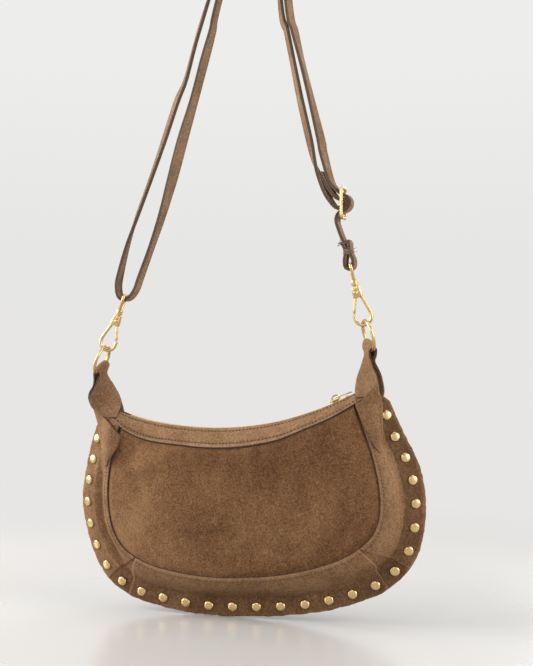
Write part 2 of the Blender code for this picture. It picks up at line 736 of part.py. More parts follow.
def add_ring(side_name, frame):
    """The ring's origin is where its wire lies in the tab, its hinge axis being the tab's channel."""
    hang, up, near = ring_frame(side_name)
    rise = HOOK_WIRE + RING_WIRE + HOOK_CLEARANCE
    bottom = hang + up * (rise - 2 * RING_RADIUS)
    turn = Matrix((near, up.cross(near), up)).transposed()
    axis = empty(f"{side_name}_ring_axis", frame, bottom)
    axis.rotation_euler = turn.to_euler()
    steps = 20
    path = []
    for k in range(steps):
        angle = 2 * math.pi * k / steps
        path.append((RING_RADIUS * math.sin(angle), 0, RING_RADIUS * (1 - math.cos(angle))))
    tube(f"{side_name}_ring", path, RING_WIRE, 8, (0, 1, 0), ("gold", GOLD), axis, closed=True)
    return bottom, up, near


def add_tab(side_name, frame, bottom, up, near):
    """A strip folded over the ring, its two leaves lying on the ear's front and back."""
    sign = -1 if side_name == "left" else 1
    foot = Vector((sign * (EAR_X - TAB_INSET[side_name]), 0, top_seam(CORNER_X) + 4 * TAB_THICKNESS))
    head_gap = RING_WIRE + 3 * RUN_GAP
    level = -math.pi if sign < 0 else 0.0
    twist = math.atan2(near.y, near.x)
    if sign < 0 and twist > 0:
        twist -= 2 * math.pi
    leaf = []
    for rise, gap, width, turned in zip(TAB_RISE_SHARES, TAB_GAP_SHARES, TAB_WIDTH_SHARES, TAB_TURN_SHARES):
        angle = level + (twist - level) * turned
        along = near if turned == 1.0 else Vector((math.cos(angle), math.sin(angle), 0))
        leaf.append((foot.lerp(bottom, rise), gap * TAB_HALF_WIDTH, width * TAB_HALF_WIDTH, along))
    strip = [(centre, -gap, width, along, -1, 0) for centre, gap, width, along in leaf]
    head_width = leaf[-1][2]
    for degrees in (160, 125, 90, 55, 20):
        angle = math.radians(degrees)
        across, rise = math.cos(angle), math.sin(angle)
        centre = bottom + up * (head_gap * HEAD_RISE_SHARE * rise)
        strip.append((centre, head_gap * across, head_width, near, across, rise))
    strip += [(centre, gap, width, along, 1, 0) for centre, gap, width, along in reversed(leaf)]
    inner, outer = [], []
    for centre, offset, width, along, across, rise in strip:
        normal = Vector((along.y, -along.x, 0)).normalized()
        base = centre - normal * offset
        grow = (up * rise - normal * across).normalized() * TAB_THICKNESS
        inner.append([base + along * (width * share) for share in TAB_STRIP_SHARES])
        outer.append([base + grow + along * (width * share) for share in TAB_STRIP_SHARES])
    return slab(f"{side_name}_tab", outer, inner, ("suede", SUEDE), frame)


def hook_path(gate_side):
    """Wire of the hook from its nose round the bottom and up to the head."""
    path = [(gate_side * HOOK_ARC, 0, HOOK_ARC + HOOK_WIRE * 2.2)]
    steps = 12
    for k in range(steps + 1):
        angle = math.pi * k / steps
        path.append((gate_side * HOOK_ARC * math.cos(angle), 0, HOOK_ARC * (1 - math.sin(angle))))
    path.append((-gate_side * HOOK_ARC * 0.93, 0, HOOK_ARC * 1.5))
    path.append((-gate_side * HEAD_HALF_WIDTH * 0.5, 0, (HEAD_BOTTOM + HEAD_TOP) / 2))
    return path


def add_hook(side_name, bag_frame):
    """Eye, hook, gate and pin of one snap, in a frame whose Z runs up the snap."""
    gate_side = 1 if side_name == "left" else -1
    hang = ring_frame(side_name)[0]
    place = bag_frame.matrix_world @ hang
    snap = empty(f"{side_name}_hook_axis", None, place, (0, HOOK_TILT[side_name], 0))
    gold = ("gold", GOLD)

    hook = tube(f"{side_name}_hook", hook_path(gate_side), HOOK_WIRE, 8, (0, 1, 0), gold, snap)
    half_x, half_y = HEAD_HALF_WIDTH, HEAD_HALF_DEPTH
    waist = (HEAD_BOTTOM + 2 * HEAD_TOP) / 3
    sections = []
    rises = [HEAD_BOTTOM, HEAD_BOTTOM + HOOK_WIRE / 2, waist, HEAD_TOP]
    for height, share in zip(rises, HEAD_WIDTH_SHARES):
        x, y = half_x * share, half_y * share
        bevel = 0.55
        sections.append([(x, -bevel * y, height), (x, bevel * y, height), (bevel * x, y, height),
                         (-bevel * x, y, height), (-x, bevel * y, height), (-x, -bevel * y, height),
                         (-bevel * x, -y, height), (bevel * x, -y, height)])
    head = loft(f"{side_name}_hook_head", sections, None, snap)
    root = (waist + HEAD_TOP) / 2
    stem_profile = [(0, root), (STEM_RADIUS, root), (STEM_RADIUS, STEM_TOP), (0, STEM_TOP)]
    stem = lathe(f"{side_name}_hook_stem", stem_profile, 10, None, snap)
    slot_wall = PIVOT_X - GATE_EYE_RADIUS - 2 * RUN_GAP
    slot_edge = sorted((gate_side * slot_wall, gate_side * (half_x + CUT_OVERRUN)))
    slot = box(f"{side_name}_hook_slot", (slot_edge[0], -SLOT_HALF_DEPTH, HEAD_BOTTOM - CUT_OVERRUN),
               (slot_edge[1], SLOT_HALF_DEPTH, PIVOT_HEIGHT + GATE_EYE_RADIUS + 2 * RUN_GAP), None, snap)
    across = Matrix.Rotation(math.pi / 2, 4, "X")
    pin_axis = Matrix.Translation((gate_side * PIVOT_X, 0, PIVOT_HEIGHT)) @ across
    bore_half = half_y + CUT_OVERRUN
    bore_radius = PIN_RADIUS + PIN_CLEARANCE
    bore_profile = [(0, -bore_half), (bore_radius, -bore_half), (bore_radius, bore_half), (0, bore_half)]
    bore = lathe(f"{side_name}_pin_bore", bore_profile, 8, None, snap)
    bore.matrix_local = pin_axis
    combine(hook, head, "UNION")
    combine(hook, stem, "UNION")
    combine(hook, slot, "DIFFERENCE")
    combine(hook, bore, "DIFFERENCE")

    seat = half_y + RUN_GAP
    crown = seat + PIN_HEAD_HEIGHT
    crown_radius = PIN_HEAD_RADIUS * 0.7
    pin = lathe(f"{side_name}_gate_pin", [
        (0, crown), (crown_radius, crown), (PIN_HEAD_RADIUS, seat), (PIN_RADIUS, seat),
        (PIN_RADIUS, -seat), (PIN_HEAD_RADIUS, -seat), (crown_radius, -crown), (0, -crown),
    ], 10, gold, snap)
    pin.matrix_local = pin_axis

    add_gate(side_name, snap, gate_side)
    add_eye(side_name, snap)
    return snap


def add_gate(side_name, snap, gate_side):
    """Straight gate whose own origin is the pin, reaching down to the hook's nose."""
    pivot = empty(f"{side_name}_gate_axis", snap, (gate_side * PIVOT_X, 0, PIVOT_HEIGHT))
    nose = Vector((gate_side * HOOK_ARC, 0, HOOK_ARC + HOOK_WIRE * 2.2))
    reach = (nose - pivot.location).normalized()
    path = [reach * (GATE_EYE_RADIUS * 0.7), reach * (GATE_LENGTH / 2), reach * GATE_LENGTH]
    gate = tube(f"{side_name}_gate", path, GATE_WIRE, 8, (0, 1, 0), ("gold", GOLD), pivot)
    across = Matrix.Rotation(math.pi / 2, 4, "X")
    eye = lathe(f"{side_name}_gate_eye", [
        (0, -GATE_EYE_HALF_DEPTH), (GATE_EYE_RADIUS, -GATE_EYE_HALF_DEPTH),
        (GATE_EYE_RADIUS, GATE_EYE_HALF_DEPTH), (0, GATE_EYE_HALF_DEPTH),
    ], 12, None, pivot)
    bore_half = GATE_EYE_HALF_DEPTH + CUT_OVERRUN
    bore = lathe(f"{side_name}_gate_bore", [
        (0, -bore_half), (PIN_RADIUS + PIN_CLEARANCE, -bore_half),
        (PIN_RADIUS + PIN_CLEARANCE, bore_half), (0, bore_half),
    ], 8, None, pivot)
    eye.matrix_local = across
    bore.matrix_local = across
    combine(gate, eye, "UNION")
    combine(gate, bore, "DIFFERENCE")


def add_eye(side_name, snap):
    """The swivel's barrel and the eye that the strap passes through."""
    low = BARREL_TOP - EYE_WIRE
    corner = EYE_WIRE * 1.6
    half = [(EYE_HALF_WIDTH - corner, EYE_TOP), (EYE_HALF_WIDTH, EYE_TOP - corner),
            (EYE_HALF_WIDTH, (EYE_TOP * 2 + low) / 3), (EYE_HALF_WIDTH * 0.55, (EYE_TOP + low * 3) / 4),
            (BARREL_RADIUS * 0.4, low)]
    outline = half + [(-y, z) for y, z in reversed(half)]
    eye = tube(f"{side_name}_eye", [(0, y, z) for y, z in outline], EYE_WIRE, 8, (1, 0, 0), ("gold", GOLD),
               snap, closed=True)
    bevel = BARREL_RADIUS * 0.2
    barrel = lathe(f"{side_name}_barrel", [
        (0, BARREL_BOTTOM), (BARREL_RADIUS - bevel, BARREL_BOTTOM), (BARREL_RADIUS, BARREL_BOTTOM + bevel),
        (BARREL_RADIUS, BARREL_TOP - bevel), (BARREL_RADIUS - bevel, BARREL_TOP), (0, BARREL_TOP),
    ], 12, None, snap)
    bore_radius = STEM_RADIUS + STRAP_CLEARANCE
    bore = lathe(f"{side_name}_barrel_bore", [
        (0, BARREL_BOTTOM - CUT_OVERRUN), (bore_radius, BARREL_BOTTOM - CUT_OVERRUN),
        (bore_radius, STEM_TOP + STRAP_CLEARANCE), (0, STEM_TOP + STRAP_CLEARANCE),
    ], 10, None, snap)
    combine(eye, barrel, "UNION")
    combine(eye, bore, "DIFFERENCE")


def about(centre, shares):
    return [(centre[0] + STRAP_WIDTH * x, centre[1] + STRAP_WIDTH * z) for x, z in shares]


def between(shares, end):
    return [(end[0] * x, end[1] * z) for x, z in shares]


def bend(centre, radius, first, last, steps):
    points = []
    for k in range(steps + 1):
        angle = math.radians(first + (last - first) * k / steps)
        points.append((centre[0] + radius * math.cos(angle), centre[1] + radius * math.sin(angle)))
    return points


def strap_route(left_bar, right_bar, bar):
    """Centre line of the strap in XZ, from its end sewn round the buckle's bar to the right eye."""
    crest = (0.0, -HANG_RADIUS)
    inner = HANG_RADIUS + STRAP_THICKNESS / 2
    outer = inner + STRAP_THICKNESS + STRAP_CLEARANCE
    round_bar = BUCKLE_WIRE + STRAP_CLEARANCE + STRAP_THICKNESS / 2
    over_bar = round_bar + STRAP_THICKNESS + STRAP_CLEARANCE
    route = list(reversed(about(bar, BAR_END_SHARES)))
    route += bend(bar, round_bar, 100, -100, 6)
    route += about(bar, BAR_ENTRY_SHARES)
    route += list(reversed(between(INNER_RIGHT_SHARES, bar)))
    route += bend(crest, inner, 10, 162, 6)
    route += between(INNER_LEFT_SHARES, left_bar)
    route += about(left_bar, LEFT_LOOP_SHARES)
    route += list(reversed(between(OUTER_LEFT_SHARES, left_bar)))
    route += bend(crest, outer, 162, 10, 6)
    route += between(OUTER_RIGHT_SHARES, bar)
    route += about(bar, PASS_ENTRY_SHARES)
    route += bend(bar, over_bar, 78, -78, 5)
    route += about(bar, PASS_EXIT_SHARES)
    route += about(right_bar, RIGHT_TAIL_SHARES + RIGHT_LOOP_SHARES + RIGHT_END_SHARES)
    return route


def add_strap(left_bar, right_bar, bar):
    route = strap_route(left_bar, right_bar, bar)
    line = []
    for i in range(len(route) - 1):
        length = math.dist(route[i], route[i + 1])
        steps = 1 if length < STRAP_WIDTH / 2 else 2
        line += [spline(route, i + k / steps) for k in range(steps)]
    line.append(np.array(route[-1]))
    sections = []
    half_y, half_t = STRAP_WIDTH / 2, STRAP_THICKNESS / 2
    for i, here in enumerate(line):
        run = line[min(i + 1, len(line) - 1)] - line[max(i - 1, 0)]
        run = run / np.linalg.norm(run)
        side = np.array([-run[1], run[0]])
        corners = [(half_t, -half_y), (half_t, half_y), (-half_t, half_y), (-half_t, -half_y)]
        sections.append([(here[0] + side[0] * t, y, here[1] + side[1] * t) for t, y in corners])
    length = sum(np.linalg.norm(b - a) for a, b in zip(line, line[1:]))
    print(f"strap length {length:.3f} m")
    return loft("strap", sections, ("strap_suede", STRAP_SUEDE), None)


def add_buckle(bar):
    """Three-bar slide: a rounded frame with a middle bar that the strap's end is sewn round."""
    seat = empty("strap_buckle_seat", None, (bar[0], 0, bar[1]))
    corner = BUCKLE_WIRE * 2
    wide, tall = BUCKLE_HALF_WIDTH, BUCKLE_HALF_HEIGHT
    quarter = [(wide, tall - corner), (wide - corner * 0.3, tall - corner * 0.3), (wide - corner, tall)]
    outline = quarter + [(-y, z) for y, z in reversed(quarter)]
    outline += [(-y, -z) for y, z in quarter] + [(y, -z) for y, z in reversed(quarter)]
    frame = tube("strap_buckle", [(0, y, z) for y, z in outline], BUCKLE_WIRE, 8, (1, 0, 0), ("gold", GOLD),
                 seat, closed=True)
    rod = tube("buckle_bar", [(0, -wide, 0), (0, wide, 0)], BUCKLE_WIRE, 8, (1, 0, 0), None, seat)
    combine(frame, rod, "UNION")


def add_bag_shells(frame):
    """Panels, bands, inserts and plackets of both faces; returns the pieces that rivets pass through."""
    suede = ("suede", SUEDE)
    apex, tip = INSERT_APEX_SHARE, INSERT_TIP_SHARE
    base_low, base_high = INSERT_BASE_SHARES
    top, low = (1, 1), (-1, -1)
    joins = {
        "left_band": (low, (-apex - tip, -base_high), 9),
        "left_insert": ((-apex - tip, -base_high), (-apex + tip, -base_low), 2),
        "bottom_band": ((-apex + tip, -base_low), (apex - tip, base_low), 12),
        "right_insert": ((apex - tip, base_low), (apex + tip, base_high), 2),
        "right_band": ((apex + tip, base_high), top, 9),
    }
    riveted = []
    for face, side in (("front", -1), ("back", 1)):
        panel(f"{face}_panel", side, suede, frame)
        placket(f"{face}_placket", side, suede, frame)
        zip_chain(f"zip_chain_{face}", side, ("zip_tape", TAPE), frame)
        for piece, (left, right, columns) in joins.items():
            riveted.append(band_piece(f"{face}_{piece}", left, right, columns, side, suede, frame))
    return riveted


def main():
    clear_scene()
    centre = Vector((-APEX_OFFSET, 0, -STRAP_DROP))
    tilt = Matrix.Rotation(-BAG_TILT, 4, "Y")
    hinge = empty("bag_axis", None, centre + tilt @ Vector((0, 0, RING_HEIGHT)), (0, -BAG_TILT, 0))
    frame = empty("bag_frame", hinge, (0, 0, -RING_HEIGHT))
    bpy.context.view_layer.update()

    riveted = add_bag_shells(frame)
    add_rivets(frame, riveted)
    lining(("lining", LINING), frame)
    add_zip_slider(frame)
    bars = {}
    for side_name in ("left", "right"):
        bottom, up, near = add_ring(side_name, frame)
        add_tab(side_name, frame, bottom, up, near)
        snap = add_hook(side_name, frame)
        bpy.context.view_layer.update()
        bar = snap.matrix_world @ Vector((0, 0, EYE_TOP))
        bars[side_name] = (bar.x, bar.z)
    buckle_bar = (bars["right"][0] + BUCKLE_SHIFT, bars["right"][1] + BUCKLE_RISE)
    add_strap(bars["left"], bars["right"], buckle_bar)
    add_buckle(buckle_bar)


main()
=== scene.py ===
"""Suede shoulder bag with a studded flange: fine shapes, materials and the photograph's view.

Pieces are built in the bag's own frame or along the strap's route, with the sizes of the CAD model,
and then placed in the row frame: metres, +Z up, the front facing -Y.
"""
import math

import bmesh
import bpy
import numpy as np
from mathutils import Matrix, Vector, noise


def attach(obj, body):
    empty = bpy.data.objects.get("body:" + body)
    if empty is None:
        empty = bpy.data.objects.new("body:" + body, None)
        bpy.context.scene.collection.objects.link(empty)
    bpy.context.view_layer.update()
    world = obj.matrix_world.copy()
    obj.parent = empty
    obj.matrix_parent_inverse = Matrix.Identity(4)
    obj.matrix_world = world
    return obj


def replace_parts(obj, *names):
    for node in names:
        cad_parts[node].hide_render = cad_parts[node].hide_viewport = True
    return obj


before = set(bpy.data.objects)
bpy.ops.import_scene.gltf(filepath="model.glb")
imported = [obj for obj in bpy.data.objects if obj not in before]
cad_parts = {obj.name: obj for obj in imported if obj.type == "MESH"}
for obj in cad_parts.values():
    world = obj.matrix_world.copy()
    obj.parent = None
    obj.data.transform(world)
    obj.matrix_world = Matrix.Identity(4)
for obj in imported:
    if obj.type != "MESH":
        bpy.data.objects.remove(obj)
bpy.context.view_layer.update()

# The bag's frame, and the sizes that the CAD model shares, in metres
BAG_PLACE = Matrix.Translation((-0.017, 0, -0.602)) @ Matrix.Rotation(-math.radians(5.3), 4, "Y")
HALF_WIDTH, BODY_DROP = 0.172, 0.1106
ROOT_HALF_WIDTH, ROOT_DROP = 0.1555, 0.093
PANEL_HALF_WIDTH, PANEL_DROP = 0.1335, 0.0681
LEATHER, SEAM_GAP, PANEL_GAP = 0.0016, 0.0003, 0.0005
BOTTOM_DEPTH, SIDE_DEPTH, CORNER_DEPTH, TOP_DEPTH = 0.024, 0.016, 0.013, 0.023
PANEL_CROWN, FLANGE_SWEEP = 0.006, 0.008
TOP_SEAM, ZIP = (0.0545, 0.254), (0.0698, 0.305)
CORNER_X, EAR_X = 0.1165, 0.133
ZIP_HALF_LENGTH, ZIP_EDGE_DEPTH = 0.110, 0.0036
CUT = 0.0011

# Outlines, as shares of a half width and a drop, from the bottom's middle up the right side
EDGE_SHARES = [(0.0, -1.0), (0.174, -0.995), (0.349, -0.970), (0.523, -0.919), (0.692, -0.845),
               (0.820, -0.723), (0.907, -0.552), (0.965, -0.344), (0.997, -0.118), (1.0, 0.109),
               (0.974, 0.307), (0.933, 0.485), (0.863, 0.738)]
ROOT_SHARES = [(0.0, -1.0), (0.180, -0.995), (0.360, -0.968), (0.534, -0.914), (0.695, -0.833),
               (0.823, -0.710), (0.910, -0.538), (0.965, -0.333), (0.997, -0.108), (1.0, 0.108),
               (0.977, 0.333), (0.932, 0.570), (0.875, 0.989)]
PANEL_SHARES = [(0.0, -1.0), (0.165, -0.996), (0.330, -0.969), (0.494, -0.918), (0.652, -0.844),
                (0.794, -0.720), (0.899, -0.558), (0.966, -0.352), (0.996, -0.117), (1.0, 0.147),
                (0.985, 0.426), (0.951, 0.734), (0.873, 1.213)]
# The filled bag's sag: place round the outline, then the shift across and upwards in half widths
SAG = [(-1.0, -0.006, -0.009), (-0.75, 0.0, -0.004), (-0.5, 0.0, 0.0), (-0.37, -0.002, 0.024),
       (-0.2, 0.006, 0.013), (0.0, 0.010, 0.005), (0.2, 0.010, -0.004), (0.4, 0.007, 0.001),
       (0.54, 0.002, -0.018), (0.7, -0.014, -0.010), (0.85, -0.026, 0.0), (1.0, -0.035, 0.006)]

WIRE_STEP = 0.0006

# The front seam's extra sag in the photo: all along the left, and most at one place
SEAM_SAG, SAG_END, DEEP_SAG, DEEP_X, DEEP_WIDTH = 0.0022, 0.070, 0.0046, -0.098, 0.030
ZIP_SAG_SHARE = 0.20


# Helpers
def spline(points, t):
    """A smooth curve through the points, at each t, counted in points."""
    p = np.asarray(points, float)
    t = np.clip(np.atleast_1d(np.asarray(t, float)), 0, len(p) - 1)
    i = np.minimum(t.astype(int), len(p) - 2)
    f = (t - i)[:, None]
    p1, p2 = p[i], p[i + 1]
    p0 = np.where((i > 0)[:, None], p[np.maximum(i - 1, 0)], 2 * p1 - p2)
    p3 = np.where((i + 2 < len(p))[:, None], p[np.minimum(i + 2, len(p) - 1)], 2 * p2 - p1)
    return 0.5 * (2 * p1 + (p2 - p0) * f + (2 * p0 - 5 * p1 + 4 * p2 - p3) * f**2
                  + (3 * p1 - p0 - 3 * p2 + p3) * f**3)


def eased(f):
    """A smooth step from 0 to 1 while f goes from 0 to 1."""
    f = np.clip(f, 0.0, 1.0)
    return f * f * (3 - 2 * f)


def hump(x, centre, width):
    """A bell of height 1 about the centre."""
    return np.exp(-np.square((x - centre) / width))


def unit(v):
    """The vectors at length 1."""
    return v / np.maximum(np.linalg.norm(v, axis=-1, keepdims=True), 1e-12)


def power(value, exponent):
    """The value's size to a power, with its sign."""
    return np.sign(value) * np.abs(value) ** exponent


def run_along(path):
    """The distance along the path at each of its points."""
    return np.concatenate([[0], np.cumsum(np.linalg.norm(np.diff(path, axis=0), axis=1))])


def line_noise(s, scale, seed):
    """Smooth noise along one coordinate."""
    return wobble(np.stack([s, 0 * s, 0 * s], -1), scale, seed)


def wobble(points, scale, seed):
    """Smooth noise from -1 to 1 at each point, with features about 1/scale metres wide."""
    flat = np.asarray(points, float).reshape(-1, 3)
    values = [noise.noise(Vector(p) * scale + Vector((seed, 3.1 * seed, 7.7))) for p in flat]
    return np.array(values).reshape(np.shape(points)[:-1])


def even(path, step, closed=False):
    """The path resampled by a smooth curve to about even steps."""
    p = np.asarray(path, float)
    if closed:
        p = np.vstack([p, p[:1]])
    fine = spline(p, np.linspace(0, len(p) - 1, (len(p) - 1) * 12 + 1))
    run = run_along(fine)
    count = max(int(round(run[-1] / step)), 3)
    marks = np.linspace(0, run[-1], count + 1)
    out = np.stack([np.interp(marks, run, fine[:, k]) for k in range(p.shape[1])], 1)
    return out[:-1] if closed else out


def settled(points):
    """The front seam's sag left of the middle. The zip line keeps most of its arc for the slider."""
    x, z = points[:, 0], points[:, 2]
    flat = np.clip(x, -CORNER_X, CORNER_X)
    zip_line, seam_line = arc(flat, ZIP) - 0.001, arc(flat, TOP_SEAM)
    drop = SEAM_SAG * eased((SAG_END - x) / 0.03) + DEEP_SAG * hump(x, DEEP_X, DEEP_WIDTH)
    drop = drop * eased((0.132 - np.abs(x)) / 0.022) * eased((z + 0.005) / 0.045)
    near_seam = eased((zip_line - z) / (zip_line - seam_line))
    drop = drop * (ZIP_SAG_SHARE + (1 - ZIP_SAG_SHARE) * near_seam)
    return points - np.stack([0 * x, 0 * x, drop], 1)


def add_piece(name, points, faces, mat, body, slot, attrs=None, uv=None, place=None):
    """One visual piece from points and faces, in the row frame after place."""
    mesh = bpy.data.meshes.new(name)
    points = np.asarray(points, float)
    if place is not None:
        points = settled(points) if place is BAG_PLACE else points
        points = carried(points, place)
    mesh.from_pydata(points.tolist(), [], [list(map(int, f)) for f in faces])
    for key, values in (attrs or {}).items():
        layer = mesh.attributes.new(key, "FLOAT", "POINT")
        layer.data.foreach_set("value", np.asarray(values, np.float32))
    if uv is not None:
        layer = mesh.uv_layers.new(name="UVMap")
        loops = np.empty(len(mesh.loops), np.int32)
        mesh.loops.foreach_get("vertex_index", loops)
        layer.data.foreach_set("uv", np.asarray(uv, np.float32)[loops].ravel())
    mesh.update()
    shape = bmesh.new()
    shape.from_mesh(mesh)
    bmesh.ops.remove_doubles(shape, verts=shape.verts, dist=2e-7)
    bmesh.ops.recalc_face_normals(shape, faces=shape.faces)
    shape.to_mesh(mesh)
    shape.free()
    mesh.shade_smooth()
    obj = bpy.data.objects.new(name, mesh)
    bpy.context.scene.collection.objects.link(obj)
    mesh.materials.append(mat)
    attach(obj, body)
    return obj


def carried(points, place):
    """The points after a 4 x 4 transform."""
    m = np.array(place)
    return np.asarray(points) @ m[:3, :3].T + m[:3, 3]


def grid_faces(rows, cols, start=0, close_cols=False, close_rows=False):
    """Quads over a grid of points, counted row by row from start."""
    faces = []
    for i in range(rows if close_rows else rows - 1):
        for j in range(cols if close_cols else cols - 1):
            this, following = start + i * cols, start + (i + 1) % rows * cols
            k = (j + 1) % cols
            faces.append((this + j, this + k, following + k, following + j))
    return faces


def end_caps(rings, count, start=0):
    """One face across each end of a stack of rings with count points each."""
    last = start + (rings - 1) * count
    return [tuple(start + k for k in range(count))[::-1], tuple(last + k for k in range(count))]


def facing(grid, side):
    """Outward ways for a grid of points that faces the front at -1 or the back at 1."""
    outward = np.zeros_like(grid)
    outward[..., 1] = side
    return outward


def upright(plan, depth):
    """Points from a plan in x and z and their depth."""
    return np.stack([plan[..., 0], depth, plan[..., 1]], -1)


def normals_of(grid, outward):
    """Unit normals of a grid of points, on the side where outward points."""
    du, dv = np.gradient(grid, axis=0), np.gradient(grid, axis=1)
    n = unit(np.cross(du, dv))
    flip = np.sign((n * outward).sum(-1, keepdims=True))
    return n * np.where(flip == 0, 1, flip)


# The cut rim's profile: shares of the bevel and of the thickness, and how dark each ring is
RIM_STEPS = [(0.10, 0.06), (0.32, 0.26), (0.66, 0.55), (0.92, 0.82)]
RIM_DARK = (0.5, 1, 1, 1)


def leather(name, grid, outward, mat, bevels, dark, thick=LEATHER, shade=None, slot="suede"):
    """A sheet of leather of the bag over a grid of points, with a cut rim. Bevels and dark rims are for the
    first row, the last row, the first column and the last column."""
    rows, cols = grid.shape[:2]
    n = normals_of(grid, outward)
    shade = np.zeros((rows, cols)) if shade is None else shade
    out = np.zeros_like(grid)
    tone = np.zeros((rows, cols))
    out[0] += unit(grid[0] - grid[1]) * bevels[0]
    out[-1] += unit(grid[-1] - grid[-2]) * bevels[1]
    out[:, 0] += unit(grid[:, 0] - grid[:, 1]) * bevels[2]
    out[:, -1] += unit(grid[:, -1] - grid[:, -2]) * bevels[3]
    tone[0], tone[-1] = dark[0], dark[1]
    tone[:, 0] = np.maximum(tone[:, 0], dark[2])
    tone[:, -1] = np.maximum(tone[:, -1], dark[3])
    inner = grid + out - n * thick
    rim = [(0, j) for j in range(cols)] + [(i, cols - 1) for i in range(1, rows)]
    rim += [(rows - 1, j) for j in range(cols - 2, -1, -1)] + [(i, 0) for i in range(rows - 2, 0, -1)]
    ri, rj = np.array(rim).T
    g, w, m, t = grid[ri, rj], out[ri, rj], n[ri, rj], tone[ri, rj]
    rings = [g + w * a - m * thick * b for a, b in RIM_STEPS]
    points = [grid.reshape(-1, 3), inner.reshape(-1, 3)] + rings
    half, count = rows * cols, len(rim)
    edge = [np.zeros(2 * half)] + [t * k for k in RIM_DARK]
    tint = [shade.ravel(), shade.ravel()] + [shade[ri, rj]] * len(rings)
    faces = grid_faces(rows, cols) + [tuple(half + k for k in reversed(f)) for f in grid_faces(rows, cols)]
    first = [int(i * cols + j) for i, j in rim]
    chain = [first] + [[2 * half + count * k + i for i in range(count)] for k in range(len(rings))]
    chain.append([half + k for k in first])
    for a, b in zip(chain, chain[1:]):
        for i in range(count):
            k = (i + 1) % count
            faces.append((a[k], a[i], b[i], b[k]))
    attrs = {"edge": np.concatenate(edge), "shade": np.concatenate(tint)}
    return add_piece(name, np.vstack(points), faces, mat, "bag", slot, attrs, place=BAG_PLACE)


# Materials
def nodes_for(name):
    """A new material, its node tree and its shader."""
    mat = bpy.data.materials.new(name)
    mat.use_nodes = True
    tree = mat.node_tree
    return mat, tree, tree.nodes["Principled BSDF"]


def add(tree, kind, **values):
    """A node with its inputs set by name or number, and its own settings by attribute."""
    node = tree.nodes.new(kind)
    for key, value in values.items():
        if key.startswith("in_"):
            key = key[3:].replace("_", " ")
            join(tree, value, node.inputs[int(key)] if key.isdigit() else node.inputs[key])
        else:
            setattr(node, key, value)
    return node


def join(tree, value, socket):
    """Link a socket to the input, or set it to a constant."""
    if isinstance(value, bpy.types.NodeSocket):
        tree.links.new(value, socket)
    else:
        socket.default_value = value


def maths(tree, operation, a, b=0.0, c=0.0, clamp=False):
    """The outcome of a sum on values or sockets."""
    node = add(tree, "ShaderNodeMath", operation=operation, use_clamp=clamp, in_0=a, in_1=b, in_2=c)
    return node.outputs[0]


def mix_colour(tree, factor, a, b):
    """A blend of two colours."""
    return add(tree, "ShaderNodeMix", data_type="RGBA", in_0=factor, in_6=a, in_7=b).outputs[2]


def noise_tex(tree, vector, scale, detail, rough, distortion=0.0):
    """Cloudy noise between 0 and 1."""
    return add(tree, "ShaderNodeTexNoise", in_Vector=vector, in_Scale=scale, in_Detail=detail,
               in_Roughness=rough, in_Distortion=distortion).outputs["Fac"]


def ramp(tree, factor, stops):
    """A colour ramp over (place, colour) stops."""
    node = add(tree, "ShaderNodeValToRGB", in_Fac=factor)
    band = node.color_ramp
    while len(band.elements) < len(stops):
        band.elements.new(0.5)
    for element, (place, colour) in zip(band.elements, stops):
        element.position = place
        element.color = (*colour, 1)
    return node.outputs["Color"]


def bump(tree, height, strength, distance, **more):
    """A surface direction that follows a height."""
    return add(tree, "ShaderNodeBump", in_Strength=strength, in_Distance=distance, in_Height=height,
               **more).outputs["Normal"]


def finish_of(tree, shader, **values):
    """Set or link the shader's inputs by name."""
    for key, value in values.items():
        join(tree, value, shader.inputs[key.replace("_", " ")])


def attribute(tree, name):
    """A value that is stored at the mesh's points."""
    return add(tree, "ShaderNodeAttribute", attribute_name=name).outputs["Fac"]


